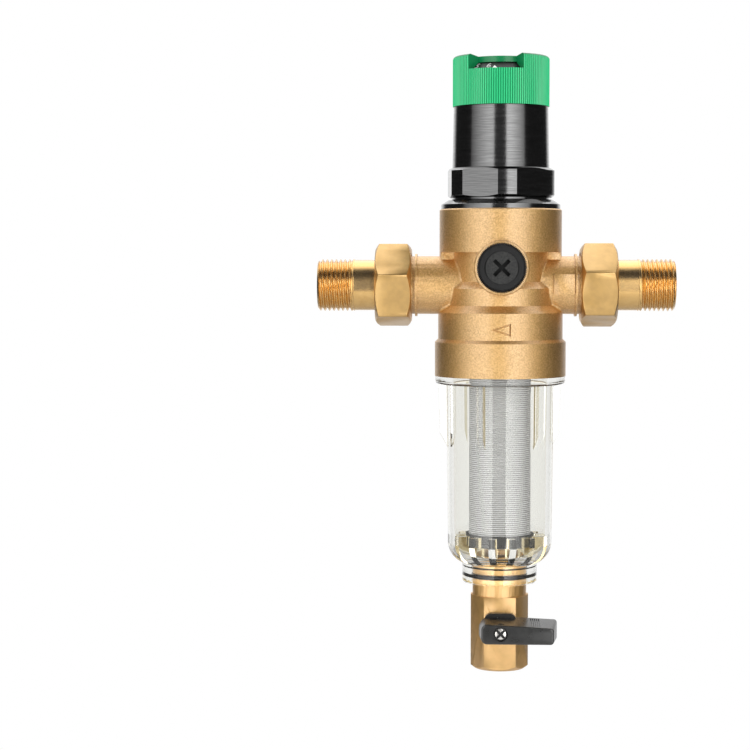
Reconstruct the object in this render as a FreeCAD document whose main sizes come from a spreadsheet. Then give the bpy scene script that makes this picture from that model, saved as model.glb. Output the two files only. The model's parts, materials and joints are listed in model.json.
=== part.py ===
"""In-line water filter and pressure reducing valve, R 1/2, with a drain valve under its bowl.

The pipe runs along X: water comes in on the +X side and leaves on the -X side. The filter bowl,
the regulating insert, the set spring and the knob stand on the vertical Z axis. The origin is
where the two axes cross, and the gauge port, the arrow and the drain lever face -Y.
All sizes are in millimetres and live in the spreadsheet "Sizes".
"""
import FreeCAD, Part
import math
import os
from types import SimpleNamespace

import Sketcher

doc = FreeCAD.newDocument("FilterRegulator")
sheet = doc.addObject("Spreadsheet::Sheet", "Sizes")


class Size:
    """A length that knows both its number and the sheet expression that it comes from."""

    def __init__(self, number, text):
        self.number = number
        self.text = text

    def joined(self, sign, other, number):
        return Size(number, f"({self.text} {sign} {as_size(other).text})")

    def __add__(self, other):
        return self.joined("+", other, self.number + as_size(other).number)

    def __sub__(self, other):
        return self.joined("-", other, self.number - as_size(other).number)

    def __mul__(self, other):
        return self.joined("*", other, self.number * as_size(other).number)

    def __truediv__(self, other):
        return self.joined("/", other, self.number / as_size(other).number)

    def __neg__(self):
        return Size(-self.number, f"(0 - {self.text})")


def as_size(value):
    """Plain numbers join in the same sums as sizes from the sheet."""
    return value if isinstance(value, Size) else Size(float(value), f"({value:.9f})")


def sizes_from(numbers):
    """Write each size into the sheet and hand the sizes back by name."""
    named = {}
    for line, (alias, number) in enumerate(numbers.items(), start=1):
        sheet.set(f"A{line}", alias)
        sheet.set(f"B{line}", str(number))
        sheet.setAlias(f"B{line}", alias)
        named[alias] = Size(float(number), f"Sizes.{alias}")
    return SimpleNamespace(**named)


SIZES = {
    # clearances
    "running_play": 0.05,  # radial clearance of turned and threaded fits
    "free_play": 0.3,  # gap between pieces that pass each other
    "edge_break": 0.5,  # small chamfer on turned edges
    # pipe line, along X
    "inlet_face": 38.1,  # inlet sealing face from the centre
    "outlet_face": 41.9,  # outlet sealing face from the centre
    "spigot_radius": 11.65,  # cast spigots either side
    "union_thread_radius": 13.22,  # G 3/4 male thread on the spigots
    "union_thread_length": 8.4,  # length of that thread and the relief behind it
    "relief_width": 1.8,  # relief groove behind that thread
    "relief_ring_radius": 12.6,  # ring that closes the groove
    "relief_ring_width": 0.9,  # width of that ring
    "web_half": 5.5,  # half width of the webs between the upper drum and the spigots
    "pipe_bore": 8.0,  # radius of the water way in the pipe line
    "gasket_thick": 2.0,  # flat gasket in each union
    "tail_collar_radius": 12.1,  # collar of a tailpiece
    "tail_collar_thick": 3.0,  # thickness of that collar
    "tail_length": 29.7,  # tailpiece, collar face to end
    "tail_shank_radius": 10.15,  # plain shank of a tailpiece
    "tail_thread_radius": 10.478,  # R 1/2 male thread
    "tail_thread_length": 14.7,  # length of that thread
    "tail_thread_lead": 1.0,  # lead chamfer of that thread
    "nut_wall": 1.73,  # union nut between its thread and its flats
    "nut_length": 14.6,  # union nut length
    "nut_shoulder": 3.5,  # end wall of a union nut
    "inlet_nut_turn": 17.0,  # degrees from the front to a corner of the inlet nut
    "outlet_nut_turn": 14.0,  # degrees from the front to a corner of the outlet nut
    # cast housing, heights from the pipe axis
    "housing_top": 30.5,  # top face of the housing
    "chest_radius": 24.6,  # upper drum round the diaphragm
    "chest_height": 17.3,  # height of that drum
    "waist_radius": 19.5,  # narrow drum above the pipe axis
    "waist_bottom": 1.4,  # lower end of the waist
    "band_radius": 22.2,  # band below the waist
    "band_depth": 8.1,  # lower end of the band
    "skirt_radius": 25.1,  # lower drum
    "skirt_depth": 21.6,  # lower end of the lower drum
    "collar_radius": 26.4,  # collar that holds the bowl
    "housing_depth": 36.6,  # lower face of the housing
    "cast_wall": 3.0,  # wall of the lower drum
    "cavity_depth": 11.5,  # roof of the chamber round the pot
    "pot_radius": 15.5,  # outside of the inner pot that takes the insert and the sieve
    "pot_depth": 30.0,  # lower end of that pot
    "insert_bore": 13.2,  # bore of the pot
    "inlet_slot_half": 7.0,  # half width of the way down from the inlet
    "inlet_slot_reach": 3.2,  # depth of that way outside the pot
    "gauge_height": 7.0,  # gauge port axis above the pipe axis
    "gauge_face": 26.5,  # face of the gauge boss from the centre
    "gauge_boss_radius": 10.9,  # gauge boss
    "gauge_thread_radius": 6.58,  # G 1/4 thread of the gauge port
    "gauge_thread_depth": 9.0,  # depth of that thread
    "gauge_pilot_radius": 2.5,  # pressure tapping behind the thread
    "pad_centre": 25.2,  # bare cast pad on the inlet spigot, from the centre
    "pad_height": 0.4,  # height of the pad's middle over the pipe axis
    "pad_half": 4.1,  # half the side of the pad
    "seam_round": 1.0,  # cast rounding where the spigots meet the drums
    "pad_rise": 0.8,  # how far the pad stands off the spigot
    # bonnet
    "bonnet_thread_radius": 20.4,  # thread that closes the housing
    "bonnet_thread_length": 8.5,  # length of that thread
    "flange_radius": 24.0,  # bonnet flange
    "flange_rim": 1.8,  # straight rim of the flange
    "flange_cone": 1.9,  # cone above the rim
    "flange_top_radius": 21.0,  # top of that cone
    "wrench_groove": 0.7,  # groove between flange and wrench hexagon
    "wrench_height": 11.9,  # height of the hexagon for the wrench
    "wrench_flats": 41.3,  # hexagon across flats
    "wrench_corner": 22.0,  # radius to which its corners are turned
    "wrench_chamfer": 1.3,  # fall of the chamfers on its corners
    "wrench_turn": 24.2,  # degrees from the front to the middle of a flat
    "barrel_foot_radius": 19.5,  # barrel at its foot
    "barrel_top_radius": 19.0,  # barrel at its top
    "barrel_height": 24.4,  # barrel above the hexagon
    "spring_bore": 15.5,  # spring chamber
    "bonnet_wall": 5.0,  # top wall that carries the spindle
    "bonnet_wall_drop": 3.5,  # underside of the top wall below the barrel top
    "neck_radius": 16.8,  # bonnet neck under the knob
    "neck_bore": 12.5,  # bore of the neck
    "neck_height": 10.5,  # height of the neck
    "slot_half": 2.15,  # half width of the slots that guide the spring plate
    "slot_depth": 1.1,  # depth of those slots
    # knob and spindle
    "knob_radius": 19.4,  # adjusting knob
    "knob_height": 20.0,  # height of the knob
    "knob_dish": 0.85,  # fall of the knob's top inside its rim
    "knob_round": 1.5,  # rounding of the knob's top edge
    "knob_wall": 2.0,  # skirt of the knob
    "knob_plate": 2.3,  # top plate of the knob
    "knob_plate_fall": 3.5,  # fall of its underside from the window to the skirt
    "hub_radius": 8.0,  # hub inside the knob
    "window_hub": 13.2,  # inner edge of the window notch
    "window_drop": 6.0,  # depth of the window notch from the top
    "window_half": 35.0,  # half angle of the window notch in degrees
    "window_turn": 8.7,  # degrees from the front to the middle of the notch
    "scale_height": 6.2,  # height of the scale ring
    "scale_rim": 3.2,  # straight part of the scale ring
    "scale_top_radius": 13.2,  # top edge of the scale ring
    "scale_bore": 10.5,  # bore of the scale ring
    "spindle_neck_radius": 5.0,  # spindle where it turns in the bonnet
    "spindle_thread_radius": 4.5,  # multi-start thread of the spindle
    "spindle_thread_length": 26.5,  # length of that thread
    "spindle_collar_radius": 8.5,  # thrust collar of the spindle
    "spindle_collar_thick": 2.5,  # thickness of that collar
    "spindle_square": 7.0,  # square end in the knob's hub
    "spindle_square_length": 12.0,  # length of that square
    "washer_radius": 9.5,  # thrust washer
    "washer_thick": 1.0,  # thickness of the thrust washer
    "knob_screw_radius": 2.0,  # screw that holds the knob
    "knob_screw_head": 4.2,  # radius of its head
    "knob_screw_head_height": 2.0,  # height of its head
    "knob_screw_length": 7.6,  # length of its shank
    # spring, plate and diaphragm
    "plate_radius": 14.0,  # spring plate
    "plate_thick": 3.0,  # thickness of the spring plate
    "plate_hub_radius": 7.5,  # threaded hub of the spring plate
    "plate_hub_height": 9.0,  # height of that hub
    "plate_drop": 3.5,  # gap over the spring plate at the rest setting
    "spring_radius": 11.0,  # mean radius of the set spring
    "wire_radius": 1.6,  # wire of the set spring
    "spring_turns": 5.0,  # turns of the set spring
    "slip_ring_thick": 1.0,  # slip ring over the diaphragm
    "clamp_radius": 20.2,  # outside of the clamped rings
    "clamp_bore": 16.2,  # inside of the clamped rings
    "diaphragm_thick": 1.5,  # diaphragm
    "diaphragm_plate_radius": 13.3,  # plate on the diaphragm
    "diaphragm_plate_thick": 2.0,  # thickness of that plate
    "roll_radius": 1.3,  # rolled fold of the diaphragm
    "plate_lip": 1.4,  # ring that centres the spring on the diaphragm plate
    # regulating insert and valve
    "insert_flange_thick": 2.4,  # flange of the insert under the diaphragm
    "fold_recess": 1.1,  # recess in that flange under the fold
    "insert_waist": 11.3,  # outside of the insert in its ring channels
    "insert_inner": 9.5,  # bore of the insert
    "insert_mouth": 10.5,  # wider bore under the diaphragm and round the disc
    "insert_mouth_depth": 7.5,  # depth of that bore under the diaphragm
    "insert_depth": 24.0,  # lower end of the insert below the pipe axis
    "channel_top": 9.8,  # top of the outlet channel
    "channel_depth": 8.3,  # bottom of the outlet channel
    "window_radius": 3.6,  # windows of the insert
    "ring_groove": 2.1,  # width of the O-ring grooves
    "ring_land": 1.6,  # land beside each groove
    "seat_depth": 12.6,  # seat lip below the pipe axis
    "seat_lip": 0.6,  # height of the seat lip
    "seat_web": 2.6,  # web that carries the seat
    "seat_bore": 6.0,  # bore of the seat
    "valve_lift": 3.0,  # gap between seat and disc when open
    "stem_radius": 3.2,  # valve stem
    "stem_end_radius": 2.5,  # both ends of the stem
    "stem_shoulder_radius": 8.0,  # stem shoulder under the diaphragm
    "stem_shoulder_thick": 1.5,  # thickness of that shoulder
    "stem_nut_flats": 8.0,  # nuts on both stem ends
    "stem_nut_thick": 3.0,  # thickness of those nuts
    "disc_radius": 7.5,  # rubber disc
    "disc_thick": 2.4,  # thickness of the disc
    "disc_proud": 0.4,  # how far the disc stands out of its holder
    "holder_wall": 0.8,  # rim of the disc holder
    "holder_floor": 1.6,  # floor of the disc holder
    # gauge plugs
    "plug_seal_thick": 0.6,  # flat seal under each gauge plug
    "plug_seal_radius": 9.2,  # outside of that seal
    "plug_head_radius": 9.95,  # head of a gauge plug
    "plug_head_thick": 2.9,  # thickness of the head
    "plug_shank_length": 8.0,  # threaded shank
    "plug_dish_radius": 6.3,  # shallow dish in the head
    "plug_dish_depth": 0.5,  # depth of the dish
    "plug_cross_half": 4.2,  # half length of the cross recess
    "plug_cross_width": 1.5,  # width of its arms
    "plug_cross_depth": 2.0,  # depth of the cross recess
    # filter bowl
    "bowl_thread_radius": 23.8,  # thread of the bowl
    "bowl_thread_length": 11.4,  # length of that thread
    "bowl_nose_length": 3.4,  # plain nose above the thread
    "bowl_nose_bore": 19.0,  # inside of the bowl at its mouth
    "nose_land": 0.7,  # land under the nose's O-ring groove
    "nose_groove_depth": 1.5,  # depth of that groove
    "bowl_collar_radius": 26.2,  # collar of the bowl
    "bowl_collar_height": 3.2,  # height of that collar
    "collar_round": 1.2,  # rounding of the collar's lower edge
    "bowl_length": 83.7,  # bowl below the housing
    "bowl_top_radius": 21.8,  # outside of the bowl under the collar
    "bowl_foot_radius": 21.0,  # outside of the bowl at the dome
    "bowl_wall": 2.6,  # wall of the bowl
    "dome_height": 8.45,  # height of the dome above the neck
    "dome_round": 9.0,  # rounding of the bowl's dome
    "dome_inner_round": 6.5,  # rounding inside the dome
    "dome_floor": 2.4,  # floor of the bowl
    "bowl_neck_radius": 15.1,  # neck of the bowl
    "bowl_neck_height": 7.8,  # height of the neck
    "neck_thread_bore": 11.4,  # bore of the neck
    "rib_half": 1.2,  # half thickness of the outer ribs
    "rib_top_radius": 25.0,  # outer ribs at the top
    "rib_foot_radius": 24.4,  # outer ribs at the foot
    "rib_length": 20.2,  # outer ribs below the collar
    "rib_runout": 8.4,  # slope of the outer ribs into the wall
    "rib_count": 6,  # outer ribs
    "bowl_turn": 10.0,  # degrees from the inlet to the first rib
    "fin_half": 1.3,  # half thickness of the inner fins
    "fin_count": 14,  # inner fins round the sieve's foot
    "fin_foot_radius": 12.2,  # inner edge of the fins under the sieve
    "fin_rise": 4.1,  # height of the fins over the sieve's foot
    "fin_swing": 18.2,  # degrees from the first rib to a fin
    # sieve
    "mesh_radius": 12.4,  # outside of the sieve mesh
    "mesh_thick": 0.4,  # mesh
    "sieve_cap_height": 2.7,  # collar of the sieve's top ring
    "sieve_cap_spigot": 4.0,  # spigot of the top ring inside the mesh
    "sieve_ring_radius": 13.9,  # bottom ring of the sieve
    "sieve_ring_height": 4.7,  # height of the bottom ring
    "sieve_ring_depth": 15.2,  # underside of the bottom ring above the bowl's end
    "sieve_ring_bore": 10.2,  # bore of the bottom ring
    "mesh_seat": 2.0,  # depth of the mesh in the bottom ring
    "cage_wall": 0.9,  # wall of the cage in the mesh
    "cage_hoop": 2.4,  # hoops of the cage
    "cage_opening_half": 7.2,  # half width of the cage's openings
    # drain valve
    "drain_radius": 10.9,  # round neck of the drain valve
    "drain_top_rise": 2.4,  # neck above the bowl's neck
    "drain_neck_height": 5.2,  # neck under the bowl
    "drain_hex_height": 30.0,  # hexagon of the drain valve
    "drain_flats": 22.2,  # drain valve across flats
    "drain_half_width": 11.6,  # drain valve across its side lands, halved
    "drain_chamfer": 1.2,  # chamfer of the hexagon's lower end
    "drain_bore": 5.0,  # water way above the ball
    "ball_drop": 16.7,  # ball centre below the bowl
    "ball_radius": 7.0,  # ball
    "ball_port": 4.4,  # hole through the ball
    "ball_bore": 7.3,  # bore for ball and seats
    "seat_ring_near": 3.2,  # near end of a ball seat from the ball centre
    "seat_ring_far": 6.6,  # far end of a ball seat from the ball centre
    "retainer_length": 3.4,  # threaded ring under the lower seat
    "outlet_thread_radius": 7.475,  # G 3/8 female outlet, minor radius
    "neck_ring_drop": 1.2,  # slip ring below the top of the bowl's neck
    "neck_ring_thick": 0.7,  # thickness of the slip ring
    "neck_seal_drop": 4.9,  # O-ring below the top of the bowl's neck
    "neck_seal_cord": 0.85,  # cord radius of that O-ring
    # ball stem and lever
    "gland_radius": 5.2,  # gland boss on the drain valve
    "gland_rise": 1.6,  # gland boss off the front flat
    "ball_stem_radius": 3.0,  # stem of the ball
    "ball_stem_flange": 3.7,  # flange that keeps the stem in
    "ball_stem_flange_thick": 1.0,  # thickness of that flange
    "ball_tongue": 1.7,  # tongue of the stem in the ball
    "ball_tongue_half": 1.2,  # half thickness of the tongue
    "ball_tongue_reach": 2.9,  # half height of the tongue
    "ball_stem_end": 26.0,  # front end of the stem from the centre
    "stem_land": 0.6,  # land beside the stem's groove
    "stem_groove": 1.0,  # width of the stem's groove
    "stem_groove_depth": 0.7,  # depth of the stem's groove
    "stem_square": 4.4,  # square of the stem in the lever
    "lever_back": 13.3,  # back edge of the lever from the centre
    "lever_front": 29.3,  # front face of the lever from the centre
    "lever_tip_front": 20.7,  # tip of the lever at its front face
    "lever_tip_back": 22.8,  # tip of the lever at its back edge
    "lever_heel_front": 7.0,  # heel of the lever at its front face
    "lever_heel_back": 8.1,  # heel of the lever at its back edge
    "lever_half_front": 4.0,  # half height of the lever at its front face
    "lever_half_back": 4.9,  # half height of the lever at its back edge
    "lever_tip_narrowing": 1.5,  # how much the upper edge draws in to the tip
    "lever_heel_flat": 1.8,  # depth of the rounded heel
    "lever_round": 5.5,  # rounding of the heel
    "lever_wall": 1.6,  # side walls of the lever
    "lever_front_wall": 3.3,  # front wall of the lever
    "lever_hub_radius": 4.0,  # hub of the lever round the stem
    "lever_boss_radius": 6.4,  # round boss at the back of the lever
    "lever_boss_thick": 2.6,  # thickness of that boss
    "lever_screw_radius": 1.3,  # lever screw shank
    "lever_screw_head": 2.4,  # lever screw head
    "lever_screw_head_height": 1.2,  # height of that head
    "lever_screw_length": 6.0,  # length of that shank
    "lever_recess_radius": 2.8,  # recess round the lever screw
    "lever_recess_depth": 1.8,  # depth of that recess
}
s = sizes_from(SIZES)


# ---------------------------------------------------------------------------------------------
# how a piece is drawn
# ---------------------------------------------------------------------------------------------
PLANES = {"X": "YZ_Plane", "Y": "XZ_Plane", "Z": "XY_Plane"}


def bind(thing, path, value):
    """Tie one property to the sheet."""
    thing.setExpression(path, as_size(value).text)


def arc_middle(start, end, radius):
    """Middle of the arc from start to end; a positive radius bulges to the right of travel."""
    chord_x = end[0] - start[0]
    chord_y = end[1] - start[1]
    chord = math.hypot(chord_x, chord_y)
    rise = abs(radius) - math.sqrt(radius * radius - chord * chord / 4)
    side = math.copysign(rise / chord, radius)
    return ((start[0] + end[0]) / 2 + chord_y * side, (start[1] + end[1]) / 2 - chord_x * side)


def draw_outline(sketch, outline):
    """Draw one closed outline of (across, up) corners, every corner tied to the sheet.

    A corner with a third value starts an arc of that radius to the next corner.
    """
    corners = [(as_size(corner[0]), as_size(corner[1])) for corner in outline]
    spots = [(across.number, up.number) for across, up in corners]
    lines = []
    for index, corner in enumerate(outline):
        start = spots[index]
        end = spots[(index + 1) % len(spots)]
        first = FreeCAD.Vector(start[0], start[1], 0)
        last = FreeCAD.Vector(end[0], end[1], 0)
        backwards = len(corner) == 3 and corner[2].number < 0
        if len(corner) == 2:
            edge = Part.LineSegment(first, last)
        else:
            middle = FreeCAD.Vector(*arc_middle(start, end, corner[2].number), 0)
            edge = Part.Arc(last, middle, first) if backwards else Part.Arc(first, middle, last)
        lines.append((sketch.addGeometry(edge), 2 if backwards else 1))
    for index, (line, start_end) in enumerate(lines):
        before, before_start = lines[index - 1]
        join = Sketcher.Constraint("Coincident", before, 3 - before_start, line, start_end)
        sketch.addConstraint(join)
        if len(outline[index]) == 3:
            radius = outline[index][2]
            drawn_radius = abs(radius.number)
            spot = sketch.addConstraint(Sketcher.Constraint("Radius", line, drawn_radius))
            bind(sketch, f"Constraints[{spot}]", radius if radius.number > 0 else -radius)
        for kind, value in zip(("DistanceX", "DistanceY"), corners[index]):
            rule = Sketcher.Constraint(kind, -1, 1, line, start_end, value.number)
            spot = sketch.addConstraint(rule)
            bind(sketch, f"Constraints[{spot}]", value)


def draw_circle(sketch, across, up, radius):
    """Draw one circle, its centre and radius tied to the sheet."""
    across, up, radius = as_size(across), as_size(up), as_size(radius)
    centre = FreeCAD.Vector(across.number, up.number, 0)
    line = sketch.addGeometry(Part.Circle(centre, FreeCAD.Vector(0, 0, 1), radius.number))
    spot = sketch.addConstraint(Sketcher.Constraint("Radius", line, radius.number))
    bind(sketch, f"Constraints[{spot}]", radius)
    for kind, value in (("DistanceX", across), ("DistanceY", up)):
        spot = sketch.addConstraint(Sketcher.Constraint(kind, -1, 1, line, 3, value.number))
        bind(sketch, f"Constraints[{spot}]", value)


class Piece:
    """One sub-part: a PartDesign body that grows feature by feature."""

    def __init__(self, label):
        self.label = label
        self.count = 0
        self.volume = 0.0
        self.body = doc.addObject("PartDesign::Body", label)
        self.body.Label = label
        self.origin = {thing.Role: thing for thing in self.body.Origin.OriginFeatures}
        pieces.append(self.body)

    def named(self, kind):
        self.count += 1
        return f"{self.label}_{kind}_{self.count}"

    def sketch(self, plane, lift=0, rise=0):
        """A sketch on an origin plane, lifted along its normal and raised within the plane."""
        drawing = self.body.newObject("Sketcher::SketchObject", self.named("sketch"))
        drawing.AttachmentSupport = (self.origin[plane], [""])
        drawing.MapMode = "FlatFace"
        bind(drawing, "AttachmentOffset.Base.z", lift)
        bind(drawing, "AttachmentOffset.Base.y", rise)
        return drawing

    def settle(self, feature, adds):
        """Recompute and make sure that the feature did what it was meant to do."""
        self.body.Tip = feature
        doc.recompute()
        volume = feature.Shape.Volume
        grew = volume - self.volume
        if not feature.isValid() or (grew <= 0 if adds else grew >= 0):
            raise RuntimeError(f"{feature.Name} changed the volume by {grew:.3f}")
        self.volume = volume
        return feature

    def turned(self, axis, outline, adds, rise):
        plane = "YZ_Plane" if axis == "Y" else "XZ_Plane"
        drawing = self.sketch(plane, rise=rise)
        draw_outline(drawing, outline)
        kind = "PartDesign::Revolution" if adds else "PartDesign::Groove"
        feature = self.body.newObject(kind, self.named("turned"))
        feature.Profile = drawing
        feature.ReferenceAxis = (drawing, ["V_Axis" if axis == "Z" else "H_Axis"])
        feature.Angle = 360
        return self.settle(feature, adds)

    def turn(self, axis, outline, rise=0):
        """Add material turned about an axis: (radius, z) for Z, (along, radius) for X and Y."""
        return self.turned(axis, outline, True, rise)

    def bore(self, axis, outline, rise=0):
        """Take material away by turning, with the same outlines as turn."""
        return self.turned(axis, outline, False, rise)

    def swept(self, axis, start, stop, adds, outline, circle):
        start, stop = as_size(start), as_size(stop)
        plane_at = start if adds else stop
        if axis == "Y":
            plane_at = -stop if adds else -start
        drawing = self.sketch(PLANES[axis], lift=plane_at)
        if outline:
            draw_outline(drawing, outline)
        else:
            draw_circle(drawing, *circle)
        kind = "PartDesign::Pad" if adds else "PartDesign::Pocket"
        feature = self.body.newObject(kind, self.named("swept"))
        feature.Profile = drawing
        bind(feature, "Length", stop - start)
        return self.settle(feature, adds)

    def pad(self, axis, start, stop, outline=None, circle=None):
        """Add a prism along an axis from start to stop."""
        return self.swept(axis, start, stop, True, outline, circle)

    def cut(self, axis, start, stop, outline=None, circle=None):
        """Cut a prism along an axis from start to stop."""
        return self.swept(axis, start, stop, False, outline, circle)

    def repeat(self, feature, axis, count, adds):
        """Repeat one feature round an axis."""
        pattern = self.body.newObject("PartDesign::PolarPattern", self.named("pattern"))
        pattern.Originals = [feature]
        pattern.Axis = (self.origin[f"{axis}_Axis"], [""])
        pattern.Angle = 360
        bind(pattern, "Occurrences", count)
        return self.settle(pattern, adds)

    def round_seams(self, beyond, above, radius):
        """Round the curved seams past an x on both sides and above a z, as a casting is."""
        cast = self.body.Tip
        seams = []
        for number, edge in enumerate(cast.Shape.Edges, 1):
            across = min(abs(edge.BoundBox.XMin), abs(edge.BoundBox.XMax))
            inside = across > beyond.number and edge.BoundBox.ZMin > above.number
            if inside and edge.Curve.TypeId == "Part::GeomBSplineCurve":
                seams.append(f"Edge{number}")
        rounding = self.body.newObject("PartDesign::Fillet", self.named("rounding"))
        rounding.Base = (cast, seams)
        bind(rounding, "Radius", radius)
        return self.settle(rounding, True)

    def place(self, x=0, z=0, turn=None, about=(0, 0, 1)):
        """Set the piece in its place, turned by an angle from the sheet."""
        bind(self.body, "Placement.Base.x", x)
        bind(self.body, "Placement.Base.z", z)
        if turn is not None:
            axis = FreeCAD.Vector(*about)
            self.body.Placement = FreeCAD.Placement(FreeCAD.Vector(), FreeCAD.Rotation(axis, 1))
            bind(self.body, "Placement.Rotation.Angle", turn)


pieces = []


def turned_ring(label, inner, outer, low, high):
    """A plain ring about the Z axis."""
    ring = Piece(label)
    ring.turn("Z", [(inner, low), (outer, low), (outer, high), (inner, high)])
    return ring


def cord_outline(across, up, cord):
    """Section of an O-ring as an octagon round its middle."""
    corner = 1 / math.cos(math.radians(22.5))
    outline = []
    for step in range(8):
        angle = math.radians(22.5 + 45 * step)
        outline.append((across + cord * (corner * math.cos(angle)),
                        up + cord * (corner * math.sin(angle))))
    return outline


def polygon(flats, sides, first_angle):
    """Regular polygon across flats, its first corner at an angle in degrees."""
    reach = 0.5 / math.cos(math.pi / sides)
    outline = []
    for step in range(sides):
        angle = math.radians(first_angle + 360 * step / sides)
        outline.append((flats * (reach * math.cos(angle)), flats * (reach * math.sin(angle))))
    return outline


def turned_polygon(flats, corner_radius, sides, first_flat):
    """Polygon with its corners turned off to a radius, from the middle of its first flat."""
    half = math.degrees(math.acos(flats.number / 2 / corner_radius.number))
    outline = []
    for step in range(sides):
        middle = first_flat + 360 * step / sides
        for angle, arc in ((middle - half, ()), (middle + half, (corner_radius,))):
            turn = math.radians(angle)
            spot = (corner_radius * math.cos(turn), corner_radius * math.sin(turn))
            outline.append(spot + arc)
    return outline


def box(low_across, high_across, low_up, high_up):
    """Four corners of a rectangle."""
    return [(low_across, low_up), (high_across, low_up), (high_across, high_up), (low_across, high_up)]


# ---------------------------------------------------------------------------------------------
# heights and places that several pieces share
# ---------------------------------------------------------------------------------------------
housing_low = -s.housing_depth
bonnet_bore = s.bonnet_thread_radius + s.running_play
bonnet_low = s.housing_top - s.bonnet_thread_length
slip_ring_low = bonnet_low - s.slip_ring_thick
diaphragm_low = slip_ring_low - s.diaphragm_thick
insert_seat = diaphragm_low - s.insert_flange_thick

flange_high = s.housing_top + s.flange_rim + s.flange_cone
wrench_low = flange_high + s.wrench_groove
wrench_high = wrench_low + s.wrench_height
barrel_high = wrench_high + s.barrel_height
wall_low = barrel_high - s.bonnet_wall_drop
wall_high = wall_low + s.bonnet_wall
neck_high = barrel_high + s.neck_height

knob_low = barrel_high + s.free_play
knob_high = knob_low + s.knob_height
knob_face = knob_high - s.knob_dish
knob_plate_low = knob_face - s.knob_plate
hub_low = wall_high + s.free_play
knob_screw_seat = knob_face - s.knob_screw_head_height

collar_high = wall_low - s.washer_thick
collar_low = collar_high - s.spindle_collar_thick
plate_high = collar_low - s.plate_drop
plate_low = plate_high - s.plate_thick
diaphragm_plate_high = slip_ring_low + s.diaphragm_plate_thick

disc_high = -s.seat_depth - s.valve_lift
disc_low = disc_high - s.disc_thick
holder_low = disc_low - s.holder_floor
lower_nut_low = holder_low - s.stem_nut_thick
stem_hole = s.stem_end_radius + s.running_play

bowl_collar_low = housing_low - s.bowl_collar_height
bowl_low = housing_low - s.bowl_length
bowl_neck_high = bowl_low + s.bowl_neck_height
dome_high = bowl_neck_high + s.dome_height
bowl_floor = bowl_neck_high + s.dome_floor
thread_high = housing_low + s.bowl_thread_length
nose_high = thread_high + s.bowl_nose_length
nose_bore = s.skirt_radius - s.cast_wall
nose_radius = nose_bore - s.free_play
nose_groove_low = thread_high + s.nose_land
nose_groove_high = nose_groove_low + s.ring_groove

sieve_cap_high = -s.insert_depth - s.free_play
sieve_cap_low = sieve_cap_high - s.sieve_cap_height
sieve_cap_end = sieve_cap_low - s.sieve_cap_spigot
sieve_ring_low = bowl_low + s.sieve_ring_depth
sieve_ring_high = sieve_ring_low + s.sieve_ring_height
mesh_inner = s.mesh_radius - s.mesh_thick
cage_radius = mesh_inner - s.running_play

drain_high = bowl_neck_high + s.drain_top_rise
drain_hex_high = bowl_low - s.drain_neck_height
drain_hex_low = drain_hex_high - s.drain_hex_height
ball_height = bowl_low - s.ball_drop
neck_seal_height = bowl_neck_high - s.neck_seal_drop
neck_seal_radius = s.neck_thread_bore - s.neck_seal_cord
neck_seal_floor = neck_seal_radius - s.neck_seal_cord
retainer_high = ball_height - s.seat_ring_far
retainer_low = retainer_high - s.retainer_length
stem_flange_in = s.ball_radius + s.free_play
stem_flange_out = stem_flange_in + s.ball_stem_flange_thick
stem_square_start = s.lever_back - s.free_play
lever_recess_floor = s.lever_front - s.lever_recess_depth


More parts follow.
